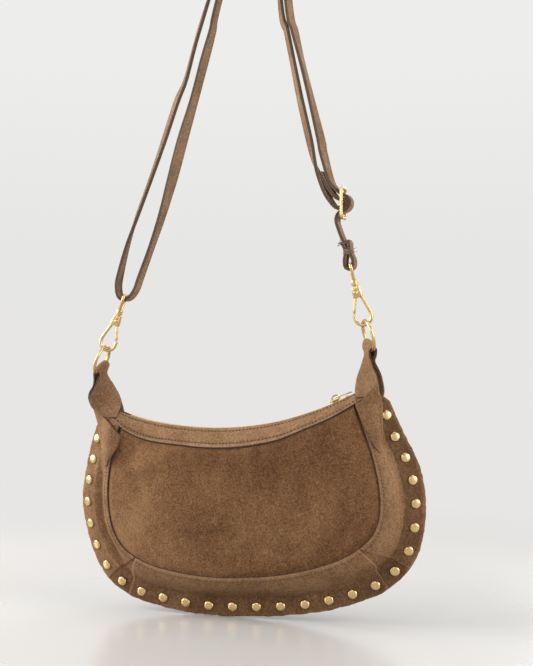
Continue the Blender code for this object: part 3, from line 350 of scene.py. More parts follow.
def suede(name, dark, mid, light, edge=(0.030, 0.028, 0.030), offset=0.0, cloud=11.0):
    """Nap leather: cloudy patches where the nap lies another way, fine fibre grain, dark cut edges."""
    mat, tree, shader = nodes_for(name)
    coords = add(tree, "ShaderNodeTexCoord").outputs["Object"]
    shift = (offset, 0.37 * offset, 1.9 * offset)
    spot = add(tree, "ShaderNodeMapping", in_Vector=coords, in_Location=shift).outputs["Vector"]
    drawn = add(tree, "ShaderNodeMapping", in_Vector=spot, in_Scale=(1.0, 1.0, 0.55)).outputs["Vector"]
    clouds = noise_tex(tree, spot, cloud, 3.0, 0.55, 0.6)
    nap = noise_tex(tree, drawn, 62.0, 4.0, 0.62, 0.8)
    fibre = noise_tex(tree, spot, 640.0, 3.0, 0.7)
    fine = noise_tex(tree, spot, 1700.0, 2.0, 0.7)
    mottle = noise_tex(tree, spot, 230.0, 3.0, 0.6, 0.5)
    level = 0.5
    for field, amount in ((clouds, 0.80), (nap, 0.45), (mottle, 0.36), (fibre, 1.40), (fine, 0.9)):
        part = maths(tree, "MULTIPLY", maths(tree, "SUBTRACT", field, 0.5), amount)
        level = maths(tree, "ADD", part, level)
    # each piece's shade values lighten or darken the colour: painted highlights and painted shade, and on the
    # front panel nap tone too
    level = maths(tree, "MULTIPLY_ADD", attribute(tree, "shade"), 0.5, level)
    colour = ramp(tree, level, [(0.16, dark), (0.50, mid), (0.88, light)])
    cut_noise = maths(tree, "MULTIPLY_ADD", noise_tex(tree, spot, 900.0, 2.0, 0.6), 0.5, 0.72)
    cut = maths(tree, "MULTIPLY", attribute(tree, "edge"), cut_noise, clamp=True)
    height = maths(tree, "ADD", maths(tree, "MULTIPLY", fibre, 0.65), maths(tree, "MULTIPLY", fine, 0.35))
    small = bump(tree, height, 0.75, 0.00040)
    finish_of(tree, shader, Base_Color=mix_colour(tree, cut, colour, (*edge, 1)),
              Normal=bump(tree, nap, 0.35, 0.0012, in_Normal=small),
              Roughness=maths(tree, "MULTIPLY_ADD", fibre, 0.12, 0.86), Specular_IOR_Level=0.12,
              Sheen_Weight=0.13, Sheen_Roughness=0.42, Sheen_Tint=(0.86, 0.58, 0.36, 1))
    return mat


def metal(name, colour, low, high):
    """Plated metal: a polish with faint handling marks and a soft unevenness; roughness from low to high."""
    mat, tree, shader = nodes_for(name)
    coords = add(tree, "ShaderNodeTexCoord").outputs["Object"]
    smear = noise_tex(tree, coords, 240.0, 3.0, 0.6, 0.4)
    specks = noise_tex(tree, coords, 2600.0, 2.0, 0.6)
    deep = tuple(c * 0.80 for c in colour)
    rough = add(tree, "ShaderNodeMapRange", in_Value=smear, in_3=low, in_4=high).outputs[0]
    height = maths(tree, "ADD", smear, maths(tree, "MULTIPLY", specks, 0.3))
    finish_of(tree, shader, Base_Color=mix_colour(tree, smear, (*deep, 1), (*colour, 1)), Metallic=1.0,
              Roughness=rough, Normal=bump(tree, height, 0.03, 0.0002))
    return mat


def cloth(name, dark, light, pitch):
    """Plain weave from two crossed waves in the piece's own UV, in metres."""
    mat, tree, shader = nodes_for(name)
    uv = add(tree, "ShaderNodeUVMap", uv_map="UVMap").outputs["UV"]
    split = add(tree, "ShaderNodeSeparateXYZ", in_Vector=uv)
    turn = 2 * math.pi / pitch
    warp = maths(tree, "SINE", maths(tree, "MULTIPLY", split.outputs["X"], turn))
    weft = maths(tree, "SINE", maths(tree, "MULTIPLY", split.outputs["Y"], turn))
    weave = maths(tree, "MULTIPLY", warp, weft)
    clouds = noise_tex(tree, add(tree, "ShaderNodeTexCoord").outputs["Object"], 60.0, 4.0, 0.6)
    level = maths(tree, "MULTIPLY_ADD", weave, 0.25, clouds)
    finish_of(tree, shader, Base_Color=ramp(tree, level, [(0.2, dark), (0.8, light)]),
              Normal=bump(tree, weave, 0.5, 0.0002), Roughness=0.85, Sheen_Weight=0.15)
    return mat


PANEL_SUEDE = suede("panel_suede", (0.078, 0.035, 0.014), (0.165, 0.081, 0.036), (0.290, 0.161, 0.078))
BAND_SUEDE = suede("band_suede", (0.095, 0.047, 0.022), (0.182, 0.097, 0.048), (0.315, 0.185, 0.097),
                   offset=2.3)
PLACKET_SUEDE = suede("placket_suede", (0.120, 0.062, 0.030), (0.225, 0.124, 0.061), (0.360, 0.214, 0.115),
                      offset=5.1)
INSERT_SUEDE = suede("insert_suede", (0.085, 0.042, 0.019), (0.162, 0.084, 0.040), (0.280, 0.161, 0.083),
                     offset=7.7)
TAB_SUEDE = suede("tab_suede", (0.105, 0.055, 0.027), (0.195, 0.107, 0.056), (0.330, 0.200, 0.109),
                  offset=9.4)
STRAP_SUEDE = suede("strap_suede", (0.130, 0.073, 0.041), (0.225, 0.136, 0.079), (0.360, 0.236, 0.147),
                    edge=(0.105, 0.074, 0.054), offset=12.6, cloud=26.0)
GOLD = metal("gold_plate", (0.655, 0.465, 0.218), 0.33, 0.45)
STUD_GOLD = metal("stud_gold", (0.72, 0.505, 0.24), 0.22, 0.34)
THREAD = cloth("thread", (0.036, 0.021, 0.013), (0.095, 0.056, 0.034), 0.0005)
PALE_THREAD = cloth("pale_thread", (0.13, 0.080, 0.048), (0.28, 0.18, 0.11), 0.0005)
TAPE = cloth("zip_tape", (0.075, 0.045, 0.028), (0.16, 0.10, 0.064), 0.0007)
LINING = cloth("lining_weave", (0.20, 0.14, 0.10), (0.36, 0.27, 0.20), 0.0006)


# The bag's surfaces, in its own frame
def arc(x, line):
    """Height of a line that sags between the ears: its lowest height and its radius are the line."""
    return line[0] + line[1] - np.sqrt(line[1] ** 2 - np.square(x))


EAR = float(arc(CORNER_X, TOP_SEAM))
FLAT = SEAM_GAP / 2 + LEATHER
STUDS, STUD_END, STUD_INSET, STUD_CROWDING = 27, 0.958, 0.0088, 0.065


def outline(shares, width, drop, corner, hold, corner_hold):
    """The outline from the top left corner down and round to the top right one, sagged like the CAD's."""
    right = [(x * width, z * drop) for x, z in shares[:-1]] + [corner]
    points = np.array([(-x, z) for x, z in reversed(right[1:])] + right)
    marks, across, upwards = zip(*SAG)
    s = np.linspace(-1, 1, len(points))
    hold = np.where(np.abs(s) > 0.999, corner_hold, hold) * HALF_WIDTH
    points[:, 0] += hold * np.interp(s, marks, across)
    points[:, 1] += hold * np.interp(s, marks, upwards)
    return points


EDGE_CORNER = (EDGE_SHARES[-1][0] * HALF_WIDTH, EAR - 0.001)
ROOT_CORNER = (ROOT_SHARES[-1][0] * ROOT_HALF_WIDTH, EAR + 0.0092)
EDGE = outline(EDGE_SHARES, HALF_WIDTH, BODY_DROP, EDGE_CORNER, 1, 0.5)
ROOT = outline(ROOT_SHARES, ROOT_HALF_WIDTH, ROOT_DROP, ROOT_CORNER, 0.8, 0)
PANEL = outline(PANEL_SHARES, PANEL_HALF_WIDTH, PANEL_DROP, (CORNER_X, EAR), 0.4, 0)


def at(points, s):
    """The outline at s, from -1 at its left end to 1 at its right end."""
    s = np.asarray(s, float)
    return spline(points, (s.ravel() + 1) * (len(points) - 1) / 2).reshape(*s.shape, 2)


def seam_depth(s):
    """Half the bag's depth at the seam between panel and band."""
    low = BOTTOM_DEPTH + (SIDE_DEPTH - BOTTOM_DEPTH) * eased(np.abs(s) / 0.6)
    return low + (CORNER_DEPTH - SIDE_DEPTH) * eased((np.abs(s) - 0.75) / 0.25)


def sweep(s):
    """How far the flange's edge stands back at the sides."""
    return FLANGE_SWEEP * eased((np.abs(s) - 0.2) / 0.45) * (1 - 0.3 * eased((np.abs(s) - 0.8) / 0.2))


def ripple(s):
    """How far the flange's edge waves back and forth at s."""
    return line_noise(np.asarray(s, float), 9.0, 4.2) * 0.0022


def rivet_spots():
    """(point, axis, place round the outline, share of the flange's width) of every stud."""
    marks = np.linspace(-STUD_END, STUD_END, 1200)
    root, edge = at(ROOT, marks), at(EDGE, marks)
    width = np.hypot(np.linalg.norm(edge - root, axis=1), sweep(marks))
    share = (1 - STUD_INSET / width)[:, None]
    plan = root + (edge - root) * share
    line = upright(plan, sweep(marks) * share[:, 0])
    run = run_along(line)
    turn = np.pi * (2 * np.arange(STUDS) / (STUDS - 1) - 1)
    share = (turn + STUD_CROWDING * np.sin(turn)) / np.pi
    s = np.interp(run[-1] * (share + 1) / 2, run, marks)
    spots = []
    for value in s:
        point = np.array([np.interp(value, marks, line[:, k]) for k in range(3)])
        root, edge = at(ROOT, value), at(EDGE, value)
        across = Vector((edge[0] - root[0], float(sweep(value)), edge[1] - root[1])).normalized()
        ahead, behind = at(EDGE, min(value + 1e-3, 1)), at(EDGE, value - 1e-3)
        along = Vector((ahead[0] - behind[0], 0, ahead[1] - behind[1])).normalized()
        axis = across.cross(along)
        axis = axis if axis.y < 0 else -axis
        share = float(np.linalg.norm(point[[0, 2]] - root) / np.linalg.norm(edge - root))
        spots.append((Vector(point), axis.normalized(), float(value), share))
    return spots


RIVETS = rivet_spots()
RIVET_PLAN = np.array([(p.x, p.z) for p, _, _, _ in RIVETS])


def near_rivet(plan):
    """Distance in the bag's plane to the nearest rivet."""
    gaps = np.linalg.norm(plan[..., None, :] - RIVET_PLAN, axis=-1)
    return gaps.min(-1)


def band_surface(s, v, side):
    """The band's outer face and its outward way; v runs 0..3 over its puff and 3..4 over the flange."""
    seam, root, edge = at(PANEL, s), at(ROOT, s), at(EDGE, s)
    away = unit(root - seam)
    start = seam + away * (PANEL_GAP + CUT + 0.0004)
    angle = np.pi / 2 * np.minimum(v / 3, 1)
    reach = np.sin(angle)
    plan = start + (root - start) * reach[..., None]
    # the front's left puff is narrower, and the side puffs are rounder than the bottom one
    narrow = 1 - 0.42 * eased((-s - 0.34) / 0.2) * eased((0.93 + s) / 0.1) if side < 0 else 1
    low = np.clip(reach / narrow, 0, 1)
    soft = 0.62 - 0.17 * eased((np.abs(s) - 0.3) / 0.3)
    fall = (1 - soft) * np.sqrt(1 - low**2) * (1 - low**5) + soft * np.cos(np.pi / 2 * low) ** 1.5
    depth = FLAT + (seam_depth(s) - FLAT) * fall
    f = np.clip(v - 3, 0, 1)[..., None]
    rough = line_noise(s, 55.0, 8.8) * 0.0006 + line_noise(s, 210.0, 4.4 + side) * 0.0004
    flange = root + (edge - root) * f + unit(edge - root) * (f * rough[..., None])
    plan = np.where(f > 0, flange, plan)
    lift = (sweep(s) + ripple(s)) * f[..., 0]
    points = upright(plan, side * depth + lift)
    back = facing(points, side)
    out = upright(away, 0 * s)
    outward = np.where(f > 0, back, back * np.cos(angle)[..., None] + out * reach[..., None])
    # creases and swells of the puff, and dimples where the studs pinch the flange
    puff = np.sin(np.pi * np.clip(v / 3, 0, 1)) ** 0.7
    grow = puff * (wobble(points, 21.0, 1.7 + side) * 0.0016 + wobble(points, 60.0, 5.2 + side) * 0.0006)
    pinch = hump(near_rivet(points[..., [0, 2]]), 0, 0.0062)
    grow = grow + f[..., 0] * ((1 - pinch) * 0.00045 - 0.0001 + wobble(points, 90.0, 2.9 + side) * 0.00025)
    turned = np.minimum(v / 3, 1)[..., None]
    return points + outward * grow[..., None], unit(outward + back * 0.2 * turned)


NO_RIM = (0, 0, 0, 0)
PLACKET_ROWS = {"low": 0.17, "high": 0.80}
THREAD_LIFT, PLACKET_THREAD_END, SEAM_THREAD_END, SEAM_THREAD_ROW = 0.0003, 0.124, 0.985, 0.32
V_ROWS = np.concatenate([3 * np.linspace(0, 1, 17) ** 1.15, 3 + np.linspace(0, 1, 11)[1:]])
HALF_ROUND, BAND_STEP = 0.215, 0.0016
INSERT_DROP, INSERT_LAP = 0.0009, 0.008


def band(name, left, right, side, mat, drop=0.0, lap=0.0):
    """One piece of the band from its left end to its right end; each end has its place at the seam and at the
    flange's edge. It can lie lower by drop and run on under its neighbours by lap."""
    cols = max(int(abs(right[0] - left[0]) * HALF_ROUND / BAND_STEP), 8)
    v, k = np.meshgrid(V_ROWS, np.linspace(0, 1, cols + 1), indexing="ij")
    low = left[0] + (left[1] - left[0]) * v / 4 - lap
    high = right[0] + (right[1] - right[0]) * v / 4 + lap
    s = np.clip(low + (high - low) * k, -1, 1)
    grid, outward = band_surface(s, v, side)
    grid = grid - unit(outward) * drop
    # painted highlights along the cut ends of the band's pieces; the lower inserts get a slightly darker tone
    # instead
    ends = 0 * v
    for limit in (low, high):
        ends = ends + np.where(np.abs(limit) < 0.97, hump(s, limit, 0.0045), 0) * 0.55
    shade = band_shade(s, v, side) + (ends if drop == 0 else -0.04)
    return leather(name, grid, outward, mat, (CUT, 0.0003, 0.0005, 0.0005), dark=(1, 0, 0.25, 0.25),
                   shade=shade)


def band_shade(s, v, side):
    """Painted highlights on both cut edges, and painted light and shade over the puff and the flange."""
    rim_highlight = 0.34 * hump(v, 0.10, 0.13) + 0.34 * hump(v, 4, 0.06)
    right, left = eased((s - 0.30) / 0.18), eased((-s - 0.34) / 0.18)
    bottom = 0.18 * hump(v, 0.8, 0.8) - 0.18 * eased((v - 1.2) / 2.0)
    tone = (1 - right) * (1 - left) * bottom
    if side > 0:
        return rim_highlight + (tone + (right + left) * (0.20 * hump(v, 1.0, 1.0) - 0.14 * eased((v - 2.3) / 0.9)))
    tone = tone + right * (0.42 * hump(v, 1.1, 1.0) - 0.36 * eased((v - 2.3) / 0.9))
    near_left = 0.22 * hump(v, 0.45, 0.4) - 0.16 * hump(v, 1.35, 0.35) + 0.16 * eased((v - 1.9) / 0.6)
    return rim_highlight + (tone + left * near_left)


def placket_depth(x):
    """Half the bag's depth along the placket's lower edge."""
    return TOP_DEPTH + (CORNER_DEPTH - TOP_DEPTH) * eased(np.abs(x) / CORNER_X)


def placket_low(x, side):
    """(point, inward direction) on the placket's lower edge, which follows the band's end at the ears."""
    seam, root = PANEL[-1], ROOT[-1]
    away = (root - seam) / np.linalg.norm(root - seam)
    sine = np.clip((np.abs(x) - seam[0]) / (root[0] - seam[0]), 0, 1)
    cosine = np.sqrt(1 - sine**2)
    inner = np.abs(x) <= CORNER_X
    y = np.where(inner, placket_depth(x), FLAT + (CORNER_DEPTH - FLAT) * cosine)
    seam_z = arc(np.minimum(np.abs(x), CORNER_X), TOP_SEAM)
    z = np.where(inner, seam_z, seam[1] + (root[1] - seam[1]) * sine) + 0.0005
    point = np.stack([x, side * y, z], -1)
    out = np.stack([np.copysign(away[0], x), 0 * x, 0 * x + away[1]], -1)
    turn = np.where(inner, 0.0, sine)[..., None]
    return point, facing(point, -side) * np.sqrt(1 - turn**2) - out * turn


def placket_surface(x, w, side, inset=0.0):
    """The placket's outer face and its outward way; w runs from 0 at the seam to 1 at the zip."""
    low, inwards = placket_low(x, side)
    high = np.stack([x, side * (0 * x + ZIP_EDGE_DEPTH), arc(x, ZIP)], -1)
    along = high - low
    normal = unit(np.stack([0 * x, -side * along[..., 2], side * along[..., 1]], -1))
    blend = np.clip(1 - w / 0.25, 0, 1)[..., None]
    direction = unit(inwards * blend + normal * (1 - blend))
    crown = np.sin(np.pi * np.clip(w, 0, 1)) * 0.0012
    return low + along * w[..., None] + direction * inset - normal * crown[..., None], -normal


def panel_piece(name, side):
    """The oval middle panel: its top rows are tucked up under the placket."""
    cols, rows = ((170, 64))
    s, t = np.meshgrid(np.linspace(-0.9995, 0.9995, cols + 1), np.linspace(0, 1, rows + 1) ** 0.96)
    low = at(PANEL, s)
    high_x = CORNER_X * np.copysign(np.abs(s) ** 0.9, s)
    high = np.stack([high_x, arc(high_x, TOP_SEAM)], -1)
    span = np.linalg.norm(low - high, axis=-1)
    way = (low - high) / np.maximum(span, 1e-6)[..., None]
    margin = 0.0030 * np.clip(span / 0.02, 0, 1)
    plan = high + (low - high) * t[..., None] + way * (margin * t)[..., None]
    to_seam, to_top = (1 - t) * span - margin * t, t * span
    rim = placket_depth(high_x) * (1 - t) + seam_depth(s) * t
    crown = PANEL_CROWN * np.sin(np.pi * t**1.1) * (1 - s * s)
    dip = 0.0012 * (1 - eased((to_seam + 0.001) / 0.0045)) + 0.0011 * (1 - eased(to_top / 0.0045))
    points = upright(plan, 0 * rim)
    room = eased(to_seam / 0.02) * eased(to_top / 0.02)
    swell = wobble(points, 15.0, 3.3 + side) * 0.0022 + wobble(points, 42.0, 6.1 + side) * 0.0007
    dents = panel_dents(points, side) * eased(to_seam / 0.004 + 0.3) * eased(to_top / 0.004)
    points[..., 1] = side * (rim + crown - dip + room * swell + dents)
    under = [placket_surface(high_x[0] * 0.999, 0 * s[0] + w, side, LEATHER + 0.0004)[0]
             for w in (0.30, 0.14)]
    under.append(placket_surface(high_x[0], 0 * s[0] + 0.02, side, LEATHER + 0.0002)[0])
    grid = np.concatenate([np.array(under), points[1:]])
    outward = facing(grid, side)
    outward[:2, :, 2] = 0.8
    shade = np.zeros(grid.shape[:2])
    # painted shade along the seam round the panel and under the placket's edge, and a faint painted highlight
    # where the panel crowns out
    dark = 0.16 * hump(to_seam, 0, 0.0028) + 0.14 * hump(to_top, 0, 0.0030)
    shade[2:] = panel_nap_and_light(points, side) - dark + 0.04 * crown / PANEL_CROWN
    return leather(name, grid, outward, PANEL_SUEDE, NO_RIM, NO_RIM, 0.0013, shade)


def panel_nap_and_light(points, side):
    """Nap tone and painted light on the front: lighter low left, darker right of the middle and at the top
    left.
    """
    if side > 0:
        return 0.0
    x, z = points[..., 0], points[..., 2]
    nap = hump(x, -0.130, 0.050) * (-0.02 + 0.46 * eased((0.045 - z) / 0.09)) - 0.14 * hump(x, 0.045, 0.080)
    # the dark spot at the top left is painted shadow in the dent under the band's fold
    return nap - 0.24 * hump(x, -0.116, 0.018) * hump(z, 0.050, 0.016)


# Dents and pulls of the filled panels: centre x and z, length, width, turn in degrees, height outwards
BOTH_DENTS = [(-0.030, -0.020, 0.050, 0.016, 12, 0.0008), (0.055, 0.010, 0.045, 0.018, -25, -0.0010)]
FRONT_DENTS = [(-0.112, 0.056, 0.020, 0.009, 35, -0.0030), (-0.085, 0.047, 0.030, 0.008, 18, 0.0014),
               (0.100, 0.050, 0.024, 0.010, -40, -0.0018)]
BACK_DENTS = [(-0.100, 0.050, 0.024, 0.010, 38, -0.0018), (0.104, 0.052, 0.022, 0.009, -32, -0.0022)]


def panel_dents(points, side):
    """Creases and hollows: how far they stand out of the panel."""
    total = 0.0
    for x, z, long, wide, turn, height in (FRONT_DENTS if side < 0 else BACK_DENTS) + BOTH_DENTS:
        c, s = math.cos(math.radians(turn)), math.sin(math.radians(turn))
        right, up = points[..., 0] - x, points[..., 2] - z
        total = total + height * hump(right * c + up * s, 0, long) * hump(up * c - right * s, 0, wide)
    return total


def placket_piece(name, side):
    """The strip along the zip, drawn in a little along its two rows of stitches."""
    x = EAR_X * np.linspace(-1, 1, (180) + 1)
    w = np.concatenate([[0, 0.05, 0.10, 0.15, 0.2], np.linspace(0.28, 0.86, 9), [0.90, 0.94, 0.97, 1.0]])
    xx, ww = np.meshgrid(x, w)
    grid, outward = placket_surface(xx, ww, side)
    rows = sum(hump(ww, row, 0.035) for row in PLACKET_ROWS.values())
    lumps = wobble(grid, 38.0, 9.9 + side) * 0.0004 * np.sin(np.pi * ww)
    grid = grid + outward * (lumps - rows * 0.00022)[..., None]
    # painted highlights along both edges, and painted shade in the two stitch rows where the leather is drawn
    # in
    shade = 0.22 * hump(ww, 0, 0.06) - 0.14 * rows + 0.12 * hump(ww, 1, 0.06)
    return leather(name, grid, outward, PLACKET_SUEDE, (CUT * 1.15, 0.0003, 0.0005, 0.0005),
                   dark=(1, 0.6, 0.6, 0.6), shade=shade)


# A stitch's rings: place along it, share of its radius, rise out of the leather in radii
STITCH_RINGS = [(-0.5, 0.25, -1.1), (-0.40, 0.8, -0.35), (-0.15, 1.0, 0.12), (0.15, 1.0, 0.12),
                (0.40, 0.8, -0.35), (0.5, 0.25, -1.1)]
STITCH_SIDES, STITCH_SLANT, STITCH_JITTER, STITCH_SINK = 6, 0.12, 0.08, 0.25


def stitches(name, path, normals, pitch, length, radius, seed, body="bag", place=BAG_PLACE):
    """A row of stitches along a path, each bowed up out of the leather. Length is a share of the pitch."""
    run = run_along(path)
    count = int(run[-1] / pitch)
    marks = (np.arange(count) + 0.5) * run[-1] / count
    spots, ways = (np.stack([np.interp(marks, run, line[:, k]) for k in range(3)], 1)
                   for line in (path, normals))
    draw = np.random.default_rng(seed)
    points, faces = [], []
    for c, along, n in zip(spots, unit(np.gradient(spots, axis=0)), unit(ways)):
        turn = STITCH_SLANT + STITCH_JITTER * draw.uniform(-1, 1)
        way = along * math.cos(turn) + np.cross(n, along) * math.sin(turn)
        b = np.cross(n, way)
        start = len(points)
        for t, r, rise in STITCH_RINGS:
            mid = c + way * (pitch * length * t) + n * (radius * (rise - STITCH_SINK))
            for k in range(STITCH_SIDES):
                a = 2 * math.pi * k / STITCH_SIDES
                points.append(mid + (b * math.cos(a) + n * math.sin(a) * 0.8) * radius * r)
        faces += grid_faces(len(STITCH_RINGS), STITCH_SIDES, start, close_cols=True)
        faces += end_caps(len(STITCH_RINGS), STITCH_SIDES, start)
    return add_piece(name, points, faces, THREAD, body, None, {"shade": np.zeros(len(points))},
                     uv=np.array(points)[:, [0, 2]], place=place)


# Where the pieces of the band end: place at the panel's seam and at the flange's edge
APEX, TIP, BASE_LOW, BASE_HIGH = 0.433, 0.004, 0.367, 0.4625
BAND_ENDS = {
    "left_band": ((-1, -1), (-APEX - TIP, -BASE_HIGH)),
    "left_insert": ((-APEX - TIP, -BASE_HIGH), (-APEX + TIP, -BASE_LOW)),
    "bottom_band": ((-APEX + TIP, -BASE_LOW), (APEX - TIP, BASE_LOW)),
    "right_insert": ((APEX - TIP, BASE_LOW), (APEX + TIP, BASE_HIGH)),
    "right_band": ((APEX + TIP, BASE_HIGH), (1, 1)),
}


def build_shells():
    """The leather of both faces, its visible threads and the front's two folds."""
    for name in FOLDS:
        fold_piece(name)
    for face, side in (("front", -1), ("back", 1)):
        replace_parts(panel_piece(f"{face}_panel_suede", side), f"{face}_panel")
        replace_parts(placket_piece(f"{face}_placket_suede", side), f"{face}_placket")
        for piece, (left, right) in BAND_ENDS.items():
            inserted = piece.endswith("insert")
            look = (INSERT_SUEDE, INSERT_DROP, INSERT_LAP) if inserted else (BAND_SUEDE,)
            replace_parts(band(f"{face}_{piece}_suede", left, right, side, *look), f"{face}_{piece}")
        x = PLACKET_THREAD_END * np.linspace(-1, 1, 200)
        for row, w in PLACKET_ROWS.items():
            path, out = placket_surface(x, 0 * x + w, side)
            stitches(f"{face}_placket_thread_{row}", path + out * THREAD_LIFT, out,
                     pitch=0.0035, length=0.46, radius=0.00066, seed=int(w * 100))
        s = SEAM_THREAD_END * np.linspace(-1, 1, 420)[None, :]
        path, out = (line[0] for line in band_surface(s, 0 * s + SEAM_THREAD_ROW, side))
        stitches(f"{face}_seam_thread", path + out * THREAD_LIFT, out,
                 pitch=0.0033, length=0.50, radius=0.00050, seed=7)


# The front bands' folded upper ends: points along the outer and the inner side, in x and z
FOLDS = {
    "left": ([(-0.1490, 0.0985), (-0.1470, 0.0870), (-0.1450, 0.0745), (-0.1425, 0.0625), (-0.1392, 0.0515),
              (-0.1356, 0.0415)],
             [(-0.1165, 0.0745), (-0.1180, 0.0695), (-0.1205, 0.0630), (-0.1245, 0.0560), (-0.1300, 0.0485),
              (-0.1354, 0.0415)]),
    "right": ([(0.1190, 0.0810), (0.1218, 0.0750), (0.1250, 0.0670), (0.1285, 0.0560), (0.1325, 0.0460),
               (0.1365, 0.0370)],
              [(0.1410, 0.1005), (0.1415, 0.0880), (0.1412, 0.0770), (0.1405, 0.0660), (0.1395, 0.0520),
               (0.1370, 0.0368)]),
}
RIGHT_FOLD_DEPTH = 0.0126


def fold_piece(name):
    """The band's upper end, folded forward over the flange where it runs up to the tab."""
    rows, cols = ((56, 26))
    t, k = np.linspace(0, 1, rows + 1), np.linspace(0, 1, cols + 1)
    first, last = (spline(line, t * (len(line) - 1)) for line in FOLDS[name])
    plan = first[:, None] * (1 - k)[None, :, None] + last[:, None] * k[None, :, None]
    sign = -1 if name == "left" else 1
    depth = band_depth(plan, sign)
    if name == "right":
        depth = np.minimum(depth, -RIGHT_FOLD_DEPTH * (1 - eased((t - 0.06) / 0.30))[:, None])
    for _ in range(6):
        depth[1:-1, 1:-1] = (depth[:-2, 1:-1] + depth[2:, 1:-1] + depth[1:-1, :-2] + depth[1:-1, 2:]) / 4
    taper = eased((1 - t) / 0.22)[:, None]
    free = k if name == "right" else 1 - k
    rise = 0.0006 + LEATHER * 0.7 + 0.0016 * np.sin(np.pi * k) + 0.0014 * hump(free, 0, 0.3)
    grid = upright(plan, depth - rise[None, :] * (0.25 + 0.75 * taper))
    grid[..., 1] += wobble(grid, 60.0, 3.1 + sign) * 0.0005
    # painted light: lighter all over, with a highlight along the outer edge and a lit strip just inside it
    shade = 0.10 + 0.34 * hump(1 - free, 0, 0.07) + 0.16 * hump(free, 0.72, 0.16) + 0 * depth
    return leather(f"front_{name}_fold_suede", grid, facing(grid, -1), BAND_SUEDE,
                   (0.0004, 0.0003, 0.0006, 0.0006), (0.5, 0, 0.2, 0.2), shade=shade)


def band_depth(plan, sign):
    """The front band's depth under each plan point, from the six nearest points of its surface."""
    s, v = np.meshgrid(sign * np.linspace(0.70, 1, 90), np.linspace(0, 4, 60))
    under = band_surface(s, v, -1)[0].reshape(-1, 3)
    gaps = np.linalg.norm(plan[:, :, None] - under[None, None, :, [0, 2]], axis=-1)
    near = np.argsort(gaps, axis=-1)[..., :6]
    weight = 1 / (np.take_along_axis(gaps, near, -1) + 0.0008)
    return (under[near, 1] * weight).sum(-1) / weight.sum(-1)


# Turned, bent and flat metal
def turned(profile, sides):
    """Points and faces of (radius, height) points turned about Z; ends on the axis."""
    points = [(0, 0, profile[0][1])]
    angles = [2 * math.pi * k / sides for k in range(sides)]
    points += [(radius * math.cos(a), radius * math.sin(a), height)
               for radius, height in profile[1:-1] for a in angles]
    points.append((0, 0, profile[-1][1]))
    rings = len(profile) - 2
    faces = [(0, 1 + k, 1 + (k + 1) % sides) for k in range(sides)]
    faces += grid_faces(rings, sides, 1, close_cols=True)
    last = 1 + (rings - 1) * sides
    faces += [(last + (k + 1) % sides, last + k, len(points) - 1) for k in range(sides)]
    return np.array(points), faces


def wire(path, radius, sides, closed=False, normal=(0, 1, 0), flat=1.0):
    """Points and faces of a round or flattened wire along a path that lies across normal."""
    path = np.asarray(path, float)
    across = unit(np.array(normal, float))
    along = unit(np.roll(path, -1, 0) - np.roll(path, 1, 0) if closed else np.gradient(path, axis=0))
    points = []
    for c, s, r in zip(path, unit(np.cross(along, across)), np.broadcast_to(radius, len(path))):
        for k in range(sides):
            a = 2 * math.pi * (k + 0.5) / sides
            points.append(c + r * (math.cos(a) * s + math.sin(a) * flat * across))
    faces = grid_faces(len(path), sides, 0, close_cols=True, close_rows=closed)
    return np.array(points), faces if closed else faces + end_caps(len(path), sides)


def moved(shape, place):
    """The shape's points carried by a transform, with its faces."""
    return carried(shape[0], place), shape[1]


def merged(*shapes):
    """One shape from several."""
    points, faces, start = [], [], 0
    for p, f in shapes:
        points.append(np.asarray(p, float))
        faces += [tuple(start + k for k in face) for face in f]
        start += len(p)
    return np.vstack(points), faces


def stacked(outline_points, levels):
    """Rings over an outline: each level has its inset towards the middle and its height."""
    flat = np.asarray(outline_points, float)
    way = unit(flat.mean(0) - flat)
    return [np.column_stack([flat + way * inset, np.full(len(flat), z)]) for inset, z in levels]


def plate(outline_points, low, high, bevel):
    """A flat plate over an outline, with softened rims."""
    half = bevel * 0.3
    rings = stacked(outline_points, [(bevel, low), (half, low + half), (0, low + bevel), (0, high - bevel),
                                     (half, high - half), (bevel, high)])
    count = len(outline_points)
    return np.vstack(rings), grid_faces(len(rings), count, close_cols=True) + end_caps(len(rings), count)


def block(x0, x1, half, low, high, bevel):
    """A plate over a rectangle from x0 to x1 and -half to half."""
    return plate([(x0, -half), (x0, half), (x1, half), (x1, -half)], low, high, bevel)


def metal_piece(name, shape, body, place, sharp=35, mat=GOLD):
    """A metal piece with edges kept sharp above that angle."""
    obj = add_piece(name, *shape, mat, body, "gold", place=place)
    obj.data.set_sharp_from_angle(angle=math.radians(sharp))
    return obj


def build_rivets():
    """A domed front cap, a post through the flange and a rolled back cap for each stud."""
    seat = LEATHER + SEAM_GAP / 2 + 0.0002
    under = -2 * seat
    cap = [(0, 0.00190), (0.0012, 0.00187), (0.0024, 0.00176), (0.0034, 0.00155), (0.0041, 0.00118),
           (0.0044, 0.00070), (0.00455, 0.00028), (0.00450, 0.00006), (0.0042, -0.0001), (0.0012, -0.0001),
           (0.0012, under), (0.0034, under), (0.0037, under - 0.0002), (0.0034, under - 0.0007),
           (0.0020, under - 0.0010), (0.0010, under - 0.0008), (0, under - 0.0008)]
    shape = turned([(r, h + seat) for r, h in cap], 36)
    for number, (point, axis, s, share) in enumerate(RIVETS, 1):
        spot = point + Vector((0, float(ripple(s)) * share, 0)) - axis * 0.0002
        place = BAG_PLACE @ Matrix.Translation(spot) @ axis.to_track_quat("Z", "Y").to_matrix().to_4x4()
        stud = metal_piece(f"stud_{number:02d}", shape, "bag", place, 60, STUD_GOLD)
        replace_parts(stud, f"rivet_{number:02d}")


